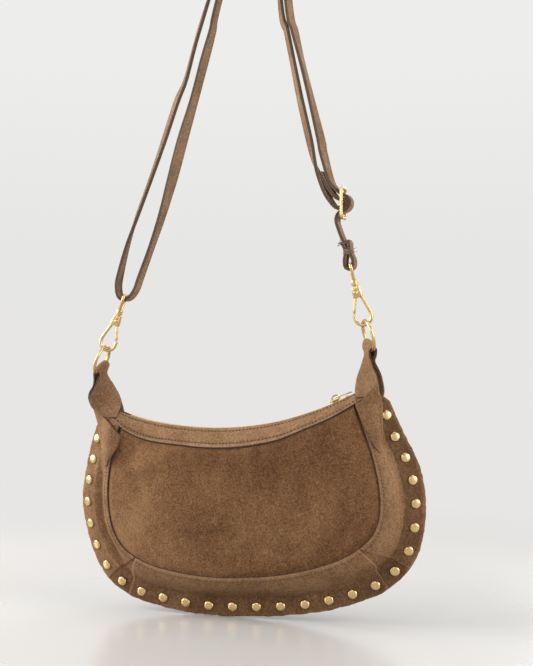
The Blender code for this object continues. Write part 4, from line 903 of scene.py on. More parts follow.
# Rings, hooks and swivel eyes, in the bag's frame or from the hook's lowest point along its stem
RING_TURNS = {"left": (27, -2), "right": (12, 28)}
HOOK_TILT = {"left": math.radians(22), "right": math.radians(-14.5)}
RING_HEIGHT, RING_SPAN, RING_RADIUS, RING_WIRE = 0.1548, 0.1313, 0.014, 0.0016
HOOK_WIRE, HOOK_ARC, HEAD_LOW, HEAD_WIDE, HEAD_DEEP = 0.0015, 0.008, 0.0260, 0.0045, 0.0029
NOSE = HOOK_ARC + HOOK_WIRE * 2.2
STEM_LOW, STEM_HIGH, STEM_RADIUS = 0.0335, 0.0404, 0.0016
EYE_LOW, EYE_TOP, EYE_WIDE, EYE_WIRE, EYE_SPIN = 0.0410, 0.0575, 0.0081, 0.0015, math.radians(14)
PIVOT = (0.0012, 0.031)


def ring_place(name):
    """The ring's lowest point, its upward and sideways ways, and its transform, in the bag's frame."""
    sign = -1 if name == "left" else 1
    lean, turn = (math.radians(a) for a in RING_TURNS[name])
    hang = Vector((sign * RING_SPAN, 0, RING_HEIGHT))
    up = Vector((-sign * math.sin(lean), 0, math.cos(lean)))
    flat = Vector((sign * math.sin(turn), -math.cos(turn), 0))
    near = (flat - up * flat.dot(up)).normalized()
    bottom = hang + up * (HOOK_WIRE + RING_WIRE + 0.0007 - 2 * RING_RADIUS)
    axes = Matrix((near, up.cross(near), up)).transposed().to_4x4()
    return bottom, up, near, Matrix.Translation(bottom) @ axes


def hook_place(name):
    """The transform of the hook and its eye: lowest point at the origin, stem along Z."""
    sign = -1 if name == "left" else 1
    point = BAG_PLACE @ Vector((sign * RING_SPAN, 0, RING_HEIGHT))
    return Matrix.Translation(point) @ Matrix.Rotation(HOOK_TILT[name], 4, "Y")


def build_snap(name):
    """Ring, hook, gate, pin and swivel eye of one side. The gate is on the bag's inner side."""
    gate = 1 if name == "left" else -1
    place = hook_place(name)
    lying = Matrix.Rotation(math.pi / 2, 4, "X")
    pivot = Vector((gate * PIVOT[0], 0, PIVOT[1]))
    at_pivot = Matrix.Translation(pivot)
    for piece, shape, body, spot, node in (
            ("ring_wire", ring_shape(), f"{name}_ring", BAG_PLACE @ ring_place(name)[3], "ring"),
            ("snap_hook", hook_shape(gate), f"{name}_hook", place, "hook"),
            ("pin_rivet", pin_shape(), f"{name}_hook", place @ (at_pivot @ lying), "gate_pin"),
            ("snap_gate", gate_shape(gate, pivot, lying), f"{name}_gate", place @ at_pivot, "gate"),
            ("swivel_eye", eye_shape(), "strap", place, "eye")):
        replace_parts(metal_piece(f"{name}_{piece}", shape, body, spot), f"{name}_{node}")


def ring_shape():
    """A ring of round wire, with the faint line where its ends meet."""
    angles = np.linspace(0, 2 * np.pi, 96, endpoint=False)
    loop = np.stack([RING_RADIUS * np.sin(angles), 0 * angles, RING_RADIUS * (1 - np.cos(angles))], 1)
    return wire(loop, RING_WIRE * (1 - 0.12 * hump(angles, 2.2, 0.02)), 18, True)


def hook_shape(gate):
    """A tapering wire from its nose round the bottom and up into a flat head, with the stem on top."""
    path = [(gate * HOOK_ARC, 0, NOSE)]
    path += [(gate * HOOK_ARC * math.cos(a), 0, HOOK_ARC * (1 - math.sin(a)))
             for a in np.linspace(0, math.pi, 13)]
    path += [(-gate * HOOK_ARC * 0.93, 0, HOOK_ARC * 1.5), (-gate * 0.0033, 0, 0.0256),
             (-gate * 0.0022, 0, 0.0300)]
    path = even(path, WIRE_STEP)
    body = wire(path, HOOK_WIRE * (1 + 0.10 * hump(np.linspace(-1, 1, len(path)), 0, 0.5)), 16)
    nose = turned([(0, 0.0007), (0.0008, 0.0006), (0.0013, 0.0002), (HOOK_WIRE, -0.0006), (0, -0.0006)], 20)
    # the head's levels: height, share of its width, share of its depth
    levels = ((HEAD_LOW, 0.84, 0.80), (HEAD_LOW + 0.0003, 0.95, 0.93), (HEAD_LOW + 0.0010, 1.0, 1.0),
              (0.0300, 0.93, 1.0), (0.0335, 0.84, 1.0), (0.0356, 0.78, 0.98), (0.0362, 0.72, 0.92),
              (0.0364, 0.60, 0.80))
    points, sides = [], 36
    for z, wide, deep in levels:
        for a in 2 * math.pi * np.arange(sides) / sides:
            x, y = (power(f(a), 0.35) for f in (math.cos, math.sin))
            points.append((HEAD_WIDE * wide * x, HEAD_DEEP * deep * y, z))
    head = np.array(points), grid_faces(len(levels), sides, close_cols=True) + end_caps(len(levels), sides)
    stem = turned([(0, STEM_LOW), (STEM_RADIUS, STEM_LOW), (STEM_RADIUS, STEM_HIGH), (0, STEM_HIGH)], 20)
    angles = np.linspace(0, 2 * np.pi, 28, endpoint=False)
    rims = []
    for y in (-HEAD_DEEP, HEAD_DEEP):
        x, z = gate * PIVOT[0] + 0.0024 * np.cos(angles), PIVOT[1] + 0.0024 * np.sin(angles)
        rims.append(wire(np.stack([x, y + 0 * angles, z], 1), 0.00028, 8, True))
    return merged(body, moved(nose, Matrix.Translation(path[0])), head, stem, *rims)


def pin_shape():
    """Two pin heads, peened into the hook's head."""
    profile = [(0, 0.0037), (0.0006, 0.0036), (0.0012, 0.0034), (0.0017, 0.0031), (0.0018, 0.0029),
               (0.0007, 0.0028)]
    return turned(profile + [(r, -h) for r, h in reversed(profile)], 24)


def gate_shape(gate, pivot, lying):
    """The gate's rod, from its pivot to the hook's nose, and the barrel round its pin."""
    reach = (Vector((gate * HOOK_ARC, 0, NOSE)) - pivot).normalized()
    stations = {0.0010: 0.0012, 0.004: 0.0013, 0.008: 0.0013, 0.012: 0.0013, 0.016: 0.0013, 0.0186: 0.0013,
                0.0193: 0.0010, 0.0195: 0.0005}
    rod = wire([np.array(reach) * along for along in stations], list(stations.values()), 16)
    barrel = turned([(0, -0.0013), (0.0018, -0.0013), (0.0021, -0.0010), (0.0021, 0.0010), (0.0018, 0.0013),
                     (0, 0.0013)], 24)
    return merged(rod, moved(barrel, lying))


def eye_shape():
    """The swivel's bow, which the strap passes through, and its grooved barrel."""
    corner, high = EYE_WIRE * 1.6, EYE_TOP
    half = [(EYE_WIDE - corner, high), (EYE_WIDE - corner * 0.25, high - corner * 0.25),
            (EYE_WIDE, high - corner), (EYE_WIDE, (high * 2 + EYE_LOW) / 3),
            (EYE_WIDE * 0.55, (high + EYE_LOW * 3) / 4), (0.0033 * 0.4, EYE_LOW)]
    loop = [(0, y, z) for y, z in half] + [(0, -y, z) for y, z in reversed(half)]
    loop = even(loop, WIRE_STEP, closed=True)
    bow = moved(wire(loop, EYE_WIRE, 16, True, (1, 0, 0)), Matrix.Rotation(EYE_SPIN, 4, "Z"))
    barrel = turned([(0, 0.0374), (0.0026, 0.0374), (0.0031, 0.0377), (0.0033, 0.0382), (0.0033, 0.0398),
                     (0.0031, 0.0400), (0.0031, 0.0403), (0.0033, 0.0405), (0.0033, 0.0419), (0.0030, 0.0424),
                     (0.0022, 0.0427), (0, 0.0427)], 32)
    return merged(bow, barrel)


TEETH, SLIDER_X = 146, ZIP_HALF_LENGTH - 0.013
SLIDER_HALF, SLIDER_BASE, SLIDER_TOP, BRIDGE_RISE, BRIDGE_WIRE = 0.005, 0.0015, 0.0029, 0.0032, 0.0007


def zip_place(x, side=0.0, lift=0.0):
    """The transform of a point of the zip at x, with X along its arc."""
    slope = math.asin(x / ZIP[1])
    return Matrix.Translation((x, side * lift, float(arc(x, ZIP)))) @ Matrix.Rotation(-slope, 4, "Y")


def build_zip():
    """Both tapes with their teeth and end stops, the slider and its pull."""
    tooth = block(-0.00055, 0.00055, 0.0013, -0.0010, 0.0004, 0.00018)
    end = block(-0.0012, 0.0012, 0.0016, -0.001, 0.0014, 0.0004)
    for face, side in (("front", -1), ("back", 1)):
        zip_tape(face, side)
        share = 0.25 if side < 0 else 0.75
        places = (ZIP_HALF_LENGTH - 0.001) * (2 * (np.arange(TEETH) + share) / TEETH - 1)
        teeth = merged(*(moved(tooth, zip_place(x, side, 0.00115)) for x in places))
        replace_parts(metal_piece(f"{face}_zip_teeth", teeth, "bag", BAG_PLACE, 30), f"zip_chain_{face}")
        stop_x = ZIP_HALF_LENGTH - 0.0015
        stop = Matrix.Translation((stop_x, side * 0.0014, float(arc(stop_x, ZIP))))
        metal_piece(f"{face}_zip_stop", moved(end, stop), "bag", BAG_PLACE, 30)
    seat = BAG_PLACE @ zip_place(SLIDER_X)
    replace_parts(metal_piece("slider_body", slider_shape(), "zip_slider", seat, 40), "zip_slider")
    hinge = Matrix.Translation((SLIDER_HALF * 0.6, 0, SLIDER_TOP + (BRIDGE_RISE - BRIDGE_WIRE) * 0.5))
    pivot = seat @ hinge @ Matrix.Rotation(math.radians(4), 4, "Y")
    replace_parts(metal_piece("pull_tongue", pull_shape(), "zip_pull", pivot, 40), "zip_pull")


def zip_tape(face, side):
    """The woven tape, from under the placket up to the teeth."""
    x = np.linspace(-ZIP_HALF_LENGTH, ZIP_HALF_LENGTH, 120)
    rows = [placket_surface(x, 0 * x + w, side, LEATHER + 0.0006)[0] for w in (0.52, 0.65, 0.78, 0.90, 0.97)]
    rows += [np.stack([x, side * (0 * x + y), arc(x, ZIP) - low], 1)
             for y, low in ((0.0022, 0.0002), (0.0010, 0.0001))]
    grid = np.array(rows)
    outward = facing(grid, side * 0.3)
    outward[..., 2] = 1
    add_plane_uv(leather(f"{face}_zip_tape", grid, outward, TAPE, NO_RIM, NO_RIM, 0.0006, slot="zip_tape"))


def slider_shape():
    """The slider's plate, keel between the teeth, foot and the bridge that holds the pull."""
    half, wide, base, top = SLIDER_HALF, 0.004, SLIDER_BASE, SLIDER_TOP
    side = [(-half, 0.5 * wide), (-0.8 * half, 0.82 * wide), (-0.45 * half, wide), (0.8 * half, wide),
            (half, 0.9 * wide)]
    body = plate(side + [(x, -y) for x, y in reversed(side)], base, top, 0.0004)
    keel = block(-0.0030, 0.0034, 0.00025, -0.0036, base + 0.0004, 0.0001)
    foot = block(-0.0034, 0.0034, 0.0010, -0.0050, -0.0036, 0.0003)
    arch = even([(-0.0025, 0, top - 0.0005), (-0.0022, 0, top + 0.0018), (-0.0006, 0, top + BRIDGE_RISE),
                 (0.0030, 0, top + BRIDGE_RISE), (0.0046, 0, top + 0.0022), (0.0047, 0, top - 0.0005)],
                0.0004)
    return merged(body, keel, foot, wire(arch, BRIDGE_WIRE, 12, flat=1.6))


def pull_shape():
    """A flat tongue with a window at its hinge end."""
    half, end, thick, bar, soft = 0.0026, 0.015, 0.0006, 0.0010, 0.0002
    side = [(0.0002, half), (0.70 * end, half), (0.93 * end, 0.80 * half), (end, 0.40 * half)]
    outer = [(-0.0005, -0.8 * half), (-0.0005, 0.8 * half)] + side + [(x, -y) for x, y in reversed(side)]
    x0, x1, w = bar * 0.5, 0.36 * end, half - 0.0012
    side = [(x0, w), (x1, w), (x1 + 0.0004, 0.5 * w), (x1 + 0.0005, 0.1 * w)]
    inner = [(x0, -w), (x0, w)] + side + [(x, -y) for x, y in reversed(side)]
    levels = [(soft, -thick), (0, -thick + soft), (0, thick - soft), (soft, thick)]
    window = [(0, thick), (0, thick - soft), (0, -thick + soft)]
    rings = stacked(inner, [(0, -thick)]) + stacked(outer, levels) + stacked(inner, window)
    return np.vstack(rings), grid_faces(len(rings), len(outer), close_cols=True, close_rows=True)


def add_plane_uv(obj):
    """UV in metres along the piece's length and down it, for woven materials."""
    layer = obj.data.uv_layers.get("UVMap") or obj.data.uv_layers.new(name="UVMap")
    for loop in obj.data.loops:
        p = obj.data.vertices[loop.vertex_index].co
        layer.data[loop.index].uv = (p.x, p.z + 0.7 * p.y)


def build_lining():
    """The pouch: each station across the bag is a smoothed loop from the front placket to the back one."""
    count, marks = 90, np.linspace(0, 8, 65)
    share = np.linspace(-1, 1, count)
    x = 0.106 * share
    room = np.sqrt(np.maximum(1 - share**4, 0))
    mouth, waist = (placket_surface(x, 0 * x + w, -1, LEATHER + 0.0014)[0] for w in (0.72, 0.5))
    top = waist[:, 2]
    low = top - (top + 0.058) * room - LEATHER
    deep = 0.014 * (0.35 + 0.65 * room)
    half = [(mouth[:, 1], mouth[:, 2]), (waist[:, 1], top), (-deep, low + (top - low) * 0.45),
            (-0.75 * deep, low + (top - low) * 0.12), (0 * deep, low)]
    loop = np.array(half + [(-y, z) for y, z in reversed(half[:-1])]).transpose(2, 0, 1)
    first = np.minimum(marks.astype(int), 7)
    share = (marks - first)[None, :, None]
    fine = loop[:, first] * (1 - share) + loop[:, first + 1] * share
    for _ in range(12):
        fine[:, 1:-1] = (fine[:, :-2] + 2 * fine[:, 1:-1] + fine[:, 2:]) / 4
    grid = np.stack([np.repeat(x[:, None], len(marks), 1), fine[..., 0], fine[..., 1]], -1)
    outward = grid - grid.mean(1, keepdims=True)
    outward[:, :14, 2] = outward[:, -14:, 2] = 0
    grid = grid + unit(outward) * (wobble(grid, 45.0, 12.3) * 0.0006)[..., None]
    pouch = leather("pouch_lining", grid, outward, LINING, NO_RIM, NO_RIM, 0.0005, slot="lining")
    add_plane_uv(pouch)
    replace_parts(pouch, "lining")


# Tabs
# Stations from the ear up to the ring: share of the way, then the gap between the leaves and the half width
# in tab widths, the share of the turn from the bag's plane to the ring's, and the shift sideways
TAB_WIDE = 0.0145
TAB_STATIONS = {
    "left": [(0.0, 0.735, 0.38, 0.0, 0.0080), (0.12, 0.53, 0.76, 0.08, 0.0036),
             (0.25, 0.36, 1.0, 0.20, 0.0002), (0.42, 0.25, 1.03, 0.36, -0.0012),
             (0.60, 0.17, 0.90, 0.55, -0.0024), (0.80, 0.13, 0.68, 0.84, -0.0026),
             (0.93, 0.22, 0.62, 1.0, -0.0008)],
    "right": [(0.0, 0.735, 0.74, 0.0, -0.0008), (0.12, 0.53, 0.80, 0.08, -0.0010),
              (0.25, 0.36, 0.80, 0.20, -0.0012), (0.42, 0.25, 0.76, 0.36, -0.0012),
              (0.60, 0.17, 0.66, 0.55, -0.0008), (0.80, 0.12, 0.58, 0.84, -0.0004),
              (0.93, 0.22, 0.60, 1.0, -0.0004)],
}
TAB_FOOT = {"left": -0.1345, "right": 0.1305}
GRIP, HEAD_GAP = math.radians(-36), RING_WIRE + 0.0020


def tab_strip(name):
    """Centre, way across, half width and outward way along the strip: up, over the ring and down again."""
    bottom, up, near, _ = ring_place(name)
    foot = Vector((TAB_FOOT[name], 0, EAR + 4 * LEATHER))
    head = bottom + near * (RING_RADIUS * math.sin(GRIP)) + up * (RING_RADIUS * (1 - math.cos(GRIP)))
    wide = near * math.cos(GRIP) + up * math.sin(GRIP)
    inward = up * math.cos(GRIP) - near * math.sin(GRIP)
    level = -math.pi if name == "left" else 0.0
    twist = math.atan2(near.y, near.x)
    if name == "left" and twist > 0:
        twist -= 2 * math.pi
    front, back = [], []
    for rise, gap, width, turned_share, aside in TAB_STATIONS[name]:
        angle = level + (twist - level) * turned_share
        along = Vector((math.cos(angle), math.sin(angle), 0)).lerp(wide, eased((turned_share - 0.3) / 0.7))
        along.normalize()
        centre = foot.lerp(head, rise) + Vector((aside, 0, 0))
        normal = Vector((-along.y, along.x, 0)).normalized()
        for leaf, way in ((front, normal), (back, -normal)):
            leaf.append((centre + way * (gap * TAB_WIDE), along, width * TAB_WIDE, way))
    side = wide.cross(inward).normalized()
    side = side if side.dot(front[-1][3]) > 0 else -side
    crown = []
    for a in map(math.radians, (70, 35, 0, -35, -70)):
        spot = head + side * (HEAD_GAP * math.sin(a)) + inward * ((HEAD_GAP + 0.0016) * math.cos(a))
        crown.append((spot, wide, width * TAB_WIDE, side * math.sin(a) + inward * math.cos(a)))
    strip = front + crown + back[::-1]
    front_first = sum(s[0].y for s in front) < sum(s[0].y for s in back)
    return strip if front_first else strip[::-1]


def tab_piece(name):
    """A strip folded over the ring; both leaves run down onto the ear."""
    keys = np.array([[*c, *a, w, *n] for c, a, w, n in tab_strip(name)])
    fine = spline(keys, np.linspace(0, len(keys) - 1, 110))[:, None]
    k = np.linspace(-1, 1, 19)
    centre, along, width, outward = fine[..., :3], unit(fine[..., 3:6]), fine[..., 6:7], unit(fine[..., 7:])
    grid = centre + along * width * k[None, :, None]
    grid = grid - outward * (np.square(k)[None, :, None] * 0.0009) + outward * LEATHER
    seed, base = (4.0, -0.10) if name == "left" else (6.0, 0.12)
    grid = grid + outward * (wobble(grid, 110.0, seed) * 0.00035)[..., None]
    # painted highlights along both long edges; the right tab is set lighter than the left
    shade = base + 0.16 * hump(np.abs(k), 1, 0.16)[None, :] + 0 * grid[..., 0]
    return leather(f"{name}_tab_suede", grid, outward + 0 * grid, TAB_SUEDE, (0.0006, 0.0006, 0.0007, 0.0007),
                   dark=(0.6, 0.6, 1, 1), shade=shade)


# The strap
# Runs in the open: share of the way across and down to the fitting, and the twist there in degrees
INNER_LEFT = [(0.317, 0.315, -2), (0.357, 0.377, 3), (0.416, 0.447, 12), (0.492, 0.540, 11),
              (0.576, 0.633, 27), (0.653, 0.727, 22), (0.727, 0.810, 6), (0.802, 0.881, -3)]
OUTER_LEFT = [(0.400, 0.320, -26), (0.485, 0.410, -27), (0.554, 0.491, -30), (0.616, 0.538, -38),
              (0.712, 0.631, -36), (0.814, 0.725, -30), (0.910, 0.808, -28), (0.986, 0.880, -14)]
INNER_RIGHT = [(0.226, 0.412, -26), (0.301, 0.492, -27), (0.376, 0.580, -28), (0.475, 0.698, -32),
               (0.586, 0.815, -33), (0.642, 0.874, -20)]
OUTER_RIGHT = [(0.327, 0.414, 13), (0.400, 0.494, 12), (0.488, 0.582, 2), (0.611, 0.700, 6),
               (0.728, 0.817, 18)]
# Turns round the fittings, in strap widths from the bar, some with a twist in degrees
LEFT_LOOP = [(1.30, 1.42), (0.98, 0.55), (0.52, -0.10), (0.0, -0.34), (-0.45, -0.10), (-0.62, 0.50),
             (-0.55, 1.40)]
RIGHT_TAIL = [(-0.02, 1.78), (0.03, 1.33), (0.05, 1.0), (0.17, 0.70), (0.30, 0.42), (0.335, 0.12),
              (0.25, -0.23), (0.0, -0.34), (-0.25, -0.23), (-0.335, 0.12), (-0.33, 0.42), (-0.28, 0.70),
              (-0.28, 1.0), (-0.36, 1.33), (-0.60, 1.72)]
BAR_END = [(-0.45, 0.40), (-0.93, 0.98, 4), (-1.38, 1.80, 8), (-1.72, 2.45, 4)]
BAR_ENTRY = [(-0.50, -0.34), (-0.98, 0.20, 4), (-1.40, 1.0, 12), (-1.95, 2.30, 2)]
PASS_ENTRY = [(-1.62, 4.0, 16), (-1.02, 1.85, 8), (-0.55, 1.12), (-0.14, 0.76)]
PASS_EXIT = [(-0.28, -0.77), (-0.46, -1.15), (-0.42, -1.62), (0.10, -2.95)]
STRAP_WIDE, STRAP_THICK, BUCKLE_WIRE, PLY_GAP, PEG = 0.012, 0.0034, 0.0016, 0.0003, 0.008
BUCKLE_FROM_EYE = (-0.0063, 0.0571)
TWIST_SCALE = 0.01
# One quarter of the section: across, through, how dark the cut edge is, painted light and shade on the face
# lighter at the rounded shoulder as a painted highlight, darker in the stitch groove as painted shade
STRAP_SECTION = [(-1.0, -0.10, 0.8, 0), (-0.985, -0.28, 1, 0), (-0.995, -0.60, 1, 0),
                 (-0.97, -0.86, 0.6, 0.3), (-0.91, -0.99, 0.0, 0.35), (-0.78, -1.0, 0, 0.1),
                 (-0.68, -0.93, 0, -0.3), (-0.58, -1.0, 0, 0.05), (-0.25, -1.0, 0, 0)]
STITCH_LINE, JOIN_LINE = 0.68, 0.93


def bend(centre, radius, first, last, steps):
    """Points on an arc about the centre, from the first to the last angle in degrees."""
    angles = np.radians(first + (last - first) * np.arange(steps + 1) / steps)
    return [(centre[0] + radius * math.cos(a), centre[1] + radius * math.sin(a)) for a in angles]


def bars():
    """Where the strap turns, in x and z: the tops of both swivel eyes and the buckle's middle bar."""
    left, right = (hook_place(name) @ Vector((0, 0, EYE_TOP)) for name in ("left", "right"))
    buckle = (right.x + BUCKLE_FROM_EYE[0], right.z + BUCKLE_FROM_EYE[1])
    return {"left": (left.x, left.z), "right": (right.x, right.z), "buckle": buckle}


BARS = bars()


def strap_route():
    """x, z and scaled twist along the strap, from its end on the buckle's bar to its sewn end."""
    left, right, bar = BARS["left"], BARS["right"], BARS["buckle"]

    def about(centre, shares):
        """Points in strap widths round a bar."""
        return [(centre[0] + STRAP_WIDE * x, centre[1] + STRAP_WIDE * z, *twist) for x, z, *twist in shares]

    def between(shares, end):
        """Points in the open, as shares of the way to the end."""
        return [(end[0] * x, end[1] * z, twist) for x, z, twist in shares]

    inner = PEG + STRAP_THICK / 2
    outer = inner + STRAP_THICK + PLY_GAP
    round_bar = BUCKLE_WIRE + PLY_GAP + STRAP_THICK / 2
    over_bar = round_bar + STRAP_THICK + PLY_GAP
    route = about(bar, BAR_END)[::-1] + bend(bar, round_bar, 100, -100, 6) + about(bar, BAR_ENTRY)
    route += between(INNER_RIGHT, bar)[::-1] + bend((0, -PEG), inner, 10, 162, 6) + between(INNER_LEFT, left)
    route += about(left, LEFT_LOOP) + between(OUTER_LEFT, left)[::-1] + bend((0, -PEG), outer, 162, 10, 6)
    route += between(OUTER_RIGHT, bar) + about(bar, PASS_ENTRY) + bend(bar, over_bar, 78, -78, 5)
    route += about(bar, PASS_EXIT) + about(right, RIGHT_TAIL)
    return [(x, z, math.radians(sum(twist)) * TWIST_SCALE) for x, z, *twist in route]


def build_strap():
    """Two layers of suede, sewn along both sides: rounded faces, raw edges with the join between them."""
    line = even(strap_route(), 0.0021)
    twist, line = line[:, 2] / TWIST_SCALE, line[:, :2]
    run = run_along(line)
    along = unit(np.gradient(line, axis=0))
    side = np.stack([-along[:, 1], along[:, 0]], 1)
    turn = twist * np.where(along[:, 1] > 0, -1.0, 1.0)
    drift = wobble(np.stack([run * 0 + 1, run, run * 0], 1), 14.0, 2.0) * 0.0005

    def spot(across, through):
        """Points of the section: across the strap's width and through its thickness, in metres."""
        cos, sin = (f(turn).reshape(-1, *[1] * (np.ndim(across) - 1)) for f in (np.cos, np.sin))
        out = through * cos + across * sin
        spread = (slice(None), *[None] * (np.ndim(out) - 1))
        x, z = (line[:, k][spread] + side[:, k][spread] * out for k in (0, 1))
        return np.stack([x, across * cos - through * sin + drift[spread], z], -1)

    lower = STRAP_SECTION + [(-y, *rest) for y, *rest in reversed(STRAP_SECTION)]
    # the join between the two layers: dark cut edge, and painted shadow of the gap between them
    loop = lower + [(JOIN_LINE, 0.0, 1, -0.6)] + [(y, -t, *rest) for y, t, *rest in reversed(lower)]
    loop.append((-JOIN_LINE, 0.0, 1, -0.6))
    ys, ts, edge, shade = np.array(loop).T
    swell = 1 + 0.05 * line_noise(run, 30.0, 6.0)[:, None]
    points = spot(ys * STRAP_WIDE / 2 * (2 - swell), ts * STRAP_THICK / 2 * swell)
    faces = grid_faces(len(line), len(loop), close_cols=True) + end_caps(len(line), len(loop))
    attrs = {"edge": np.tile(edge, len(line)), "shade": np.tile(shade, len(line))}
    strap = add_piece("strap_suede", points.reshape(-1, 3), faces, STRAP_SUEDE, "strap", "strap_suede", attrs)
    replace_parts(strap, "strap")
    for tag, t in (("a", -1.0), ("b", 1.0)):
        ways = np.stack([side[:, 0] * t * np.cos(turn), -t * np.sin(turn), side[:, 1] * t * np.cos(turn)], 1)
        for part, y in (("left", -STITCH_LINE), ("right", STITCH_LINE)):
            path = spot(y * STRAP_WIDE / 2 + 0 * run, t * STRAP_THICK / 2 * 0.95 + 0 * run)
            stitches(f"strap_thread_{tag}_{part}", path, ways, pitch=0.0036, length=0.72, radius=0.00022,
                     seed=11, body="strap", place=None)
    build_strap_end()


def build_strap_end():
    """The binding above the right eye, and the frayed tip of the strap beside it."""
    draw = np.random.default_rng(8)
    right = np.array(BARS["right"])
    centre = right + STRAP_WIDE * np.array([-0.10, 0.98])
    angles = np.linspace(0, 2 * np.pi, 40, endpoint=False)
    cos, sin = np.cos(angles), np.sin(angles)
    parts = []
    for k in range(5):
        z = centre[1] + (k - 2) * 0.00075 + 0.0004 * np.sin(angles + k)
        loop = np.stack([centre[0] + 0.0043 * power(cos, 0.7), 0.0061 * power(sin, 0.5), z], 1)
        parts.append(wire(loop, 0.00042, 8, True, (0, 0, 1)))
    for _ in range(7):
        start = np.array([centre[0] + draw.uniform(0.001, 0.004), draw.uniform(-0.006, -0.002), centre[1]])
        tip = start + draw.uniform((0.002, -0.002, -0.002), (0.007, 0.001, 0.004))
        mid = (start + tip) / 2 + np.array([0, 0, draw.uniform(-0.001, 0.001)])
        parts.append(wire(even([start, mid, tip], 0.0008), 0.00016, 5))
    points, faces = merged(*parts)
    add_piece("strap_binding", points, faces, PALE_THREAD, "strap", None, {"shade": np.zeros(len(points))},
              uv=points[:, [0, 2]])
    parts = []
    tip = right + STRAP_WIDE * np.array(RIGHT_TAIL[-1])
    for _ in range(26):
        y = draw.uniform(-0.0056, 0.0056)
        start = np.array([tip[0] + draw.uniform(-0.0012, 0.0012), y, tip[1] + draw.uniform(-0.002, 0.0005)])
        way = draw.uniform((-0.004, -0.002, -0.0015), (0.001, 0.002, 0.0030))
        mid = start + way * 0.5 + draw.uniform(-0.0006, 0.0006, 3)
        parts.append(wire(even([start, mid, start + way], 0.0007), draw.uniform(0.00018, 0.00045), 5))
    points, faces = merged(*parts)
    add_piece("strap_fray", points, faces, STRAP_SUEDE, "strap", "strap_suede",
              {"edge": np.zeros(len(points)), "shade": np.full(len(points), 0.25)})


def build_buckle():
    """A three-bar slide: a frame with round corners, and the middle bar with its two knuckles."""
    bar, wide, tall, corner, across = BARS["buckle"], 0.0082, 0.0138, 0.0032, (1, 0, 0)
    quarter = [(wide, 0.35 * tall), (wide, tall - corner), (wide - corner * 0.29, tall - corner * 0.29),
               (wide - corner, tall), (0.3 * wide, tall)]
    half = quarter + [(-y, z) for y, z in reversed(quarter)]
    loop = [(0, y, z) for y, z in half] + [(0, -y, -z) for y, z in half]
    rim = wire(even(loop, 0.0008, closed=True), BUCKLE_WIRE, 16, True, across, 0.9)
    rod = wire([(0, wide * share, 0) for share in (-1, -0.6, 0.6, 1)],
               [BUCKLE_WIRE * share for share in (1.12, 0.98, 0.98, 1.12)], 16, False, across)
    knuckles = [wire([(0, end - 0.0012, 0), (0, end + 0.0012, 0)], BUCKLE_WIRE * 1.3, 16, False, across)
                for end in (-wide, wide)]
    place = Matrix.Translation((bar[0], 0, bar[1]))
    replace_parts(metal_piece("slide_buckle", merged(rim, rod, *knuckles), "strap", place), "strap_buckle")


build_shells()
build_rivets()
for side_name in ("left", "right"):
    build_snap(side_name)
    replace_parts(tab_piece(side_name), f"{side_name}_tab")
build_zip()
build_lining()
build_strap()
build_buckle()


# The studio: a round sweep, five lamps and the camera that was fitted to the photo
FLOOR_Z, FLOOR_RADIUS, BEND_RADIUS, WALL_TOP, SWEEP_SIDES = -0.7135, 3.2, 1.3, 2.6, 96
LAMP_TARGET = (0, 0, -0.50)
# Where each lamp stands, its watts, the two sides of its square and its colour
LAMPS = {"left_box": ((-1.55, -0.45, 0.15), 42, (1.1, 1.3), (1.0, 0.985, 0.965)),
         "right_box": ((1.55, -0.42, 0.10), 25, (1.1, 1.3), (1.0, 0.99, 0.98)),
         "front": ((-0.5, -2.2, 0.9), 10, (1.0, 1.0), (1, 1, 1)),
         "back": ((0.7, 2.3, 0.7), 17, (1.4, 1.4), (1, 1, 1)),
         "top": ((0.0, 0.25, 1.2), 15, (1.6, 1.2), (1, 1, 1))}
CAMERA_X, CAMERA_Z, CAMERA_DISTANCE, CAMERA_YAW = 0.0040, -0.4433, 1.199, math.radians(17.33)
PHOTO_WIDTH, FOCAL_PIXELS, SENSOR = 533, 1268.3, 36.0


def backdrop():
    """A pale round sweep: floor, a wide curve and a low wall on every side."""
    profile = [(0.4, FLOOR_Z), (1.2, FLOOR_Z), (FLOOR_RADIUS, FLOOR_Z)]
    profile += [(FLOOR_RADIUS + BEND_RADIUS * math.sin(a), FLOOR_Z + BEND_RADIUS * (1 - math.cos(a)))
                for a in np.linspace(0.05, math.pi / 2, 20)]
    profile.append((FLOOR_RADIUS + BEND_RADIUS, WALL_TOP))
    turns = [2 * math.pi * k / SWEEP_SIDES for k in range(SWEEP_SIDES)]
    points = [(0, 0, FLOOR_Z)] + [(r * math.cos(a), r * math.sin(a), z) for r, z in profile for a in turns]
    faces = [(0, 1 + k, 1 + (k + 1) % SWEEP_SIDES) for k in range(SWEEP_SIDES)]
    faces += [face[::-1] for face in grid_faces(len(profile), SWEEP_SIDES, 1, close_cols=True)]
    mesh = bpy.data.meshes.new("sweep")
    mesh.from_pydata(points, [], faces)
    mesh.materials.append(sweep_paint())
    mesh.shade_smooth()
    obj = bpy.data.objects.new("sweep", mesh)
    bpy.context.scene.collection.objects.link(obj)


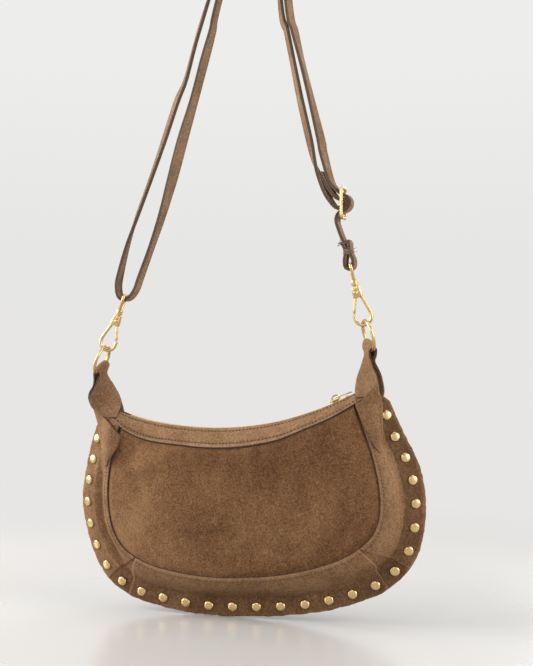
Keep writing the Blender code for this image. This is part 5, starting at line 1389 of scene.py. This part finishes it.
def sweep_paint():
    """Satin paint near the bag, duller further off, where the camera and mirrors see an even glow instead."""
    mat, tree, shader = nodes_for("studio_sweep")
    shader.inputs["Base Color"].default_value = (0.548, 0.536, 0.520, 1)
    shader.inputs["Specular IOR Level"].default_value = 0.60
    spot = add(tree, "ShaderNodeTexCoord").outputs["Object"]
    height = add(tree, "ShaderNodeSeparateXYZ", in_Vector=spot).outputs["Z"]
    level = add(tree, "ShaderNodeMapRange", in_Value=height, in_1=-0.70, in_2=2.2).outputs[0]
    glow = ramp(tree, level, [(0.0, (0.800, 0.790, 0.783)), (0.20, (0.795, 0.792, 0.788)),
                              (0.50, (0.845, 0.842, 0.836)), (1.0, (0.900, 0.893, 0.882))])
    glow = add(tree, "ShaderNodeEmission", in_Color=glow)
    away = add(tree, "ShaderNodeVectorMath", operation="LENGTH", in_0=spot).outputs["Value"]
    dull = add(tree, "ShaderNodeMapRange", in_Value=away, in_1=0.75, in_2=0.88, in_3=0.22, in_4=0.80)
    tree.links.new(dull.outputs[0], shader.inputs["Roughness"])
    wall = add(tree, "ShaderNodeMapRange", in_Value=away, in_1=0.74, in_2=1.12)
    wall.interpolation_type = "SMOOTHSTEP"
    ray = add(tree, "ShaderNodeLightPath").outputs
    direct = maths(tree, "MAXIMUM", ray["Is Camera Ray"], ray["Is Glossy Ray"])
    seen = maths(tree, "MULTIPLY", wall.outputs[0], direct)
    blend = add(tree, "ShaderNodeMixShader", in_0=seen, in_1=shader.outputs[0], in_2=glow.outputs[0])
    tree.links.new(blend.outputs[0], tree.nodes["Material Output"].inputs["Surface"])
    return mat


def light():
    """A dim grey sky and the soft boxes, all aimed at the bag."""
    world = bpy.data.worlds.new("studio")
    bpy.context.scene.world = world
    world.use_nodes = True
    sky = world.node_tree.nodes["Background"].inputs
    sky["Color"].default_value, sky["Strength"].default_value = (0.86, 0.87, 0.88, 1), 0.30
    for name, (place, watts, size, colour) in LAMPS.items():
        data = bpy.data.lights.new(name, "AREA")
        data.energy, data.color, data.shape = watts, colour, "RECTANGLE"
        data.size, data.size_y = size
        obj = bpy.data.objects.new(name, data)
        bpy.context.scene.collection.objects.link(obj)
        obj.location = place
        obj.rotation_euler = (Vector(LAMP_TARGET) - Vector(place)).to_track_quat("-Z", "Y").to_euler()


def camera():
    """A level camera to the right of the bag's front."""
    data = bpy.data.cameras.new("camera")
    obj = bpy.data.objects.new("camera", data)
    bpy.context.scene.collection.objects.link(obj)
    sin, cos = math.sin(CAMERA_YAW), math.cos(CAMERA_YAW)
    obj.location = (CAMERA_X + sin * CAMERA_DISTANCE, -cos * CAMERA_DISTANCE, CAMERA_Z)
    obj.rotation_euler = (math.pi / 2, 0, CAMERA_YAW)
    data.sensor_fit = "HORIZONTAL"
    data.sensor_width = SENSOR
    data.lens = SENSOR * FOCAL_PIXELS / PHOTO_WIDTH
    data.clip_start = 0.01
    bpy.context.scene.camera = obj


backdrop()
light()
camera()
bpy.context.scene.view_settings.view_transform = "Standard"
bpy.context.view_layer.update()
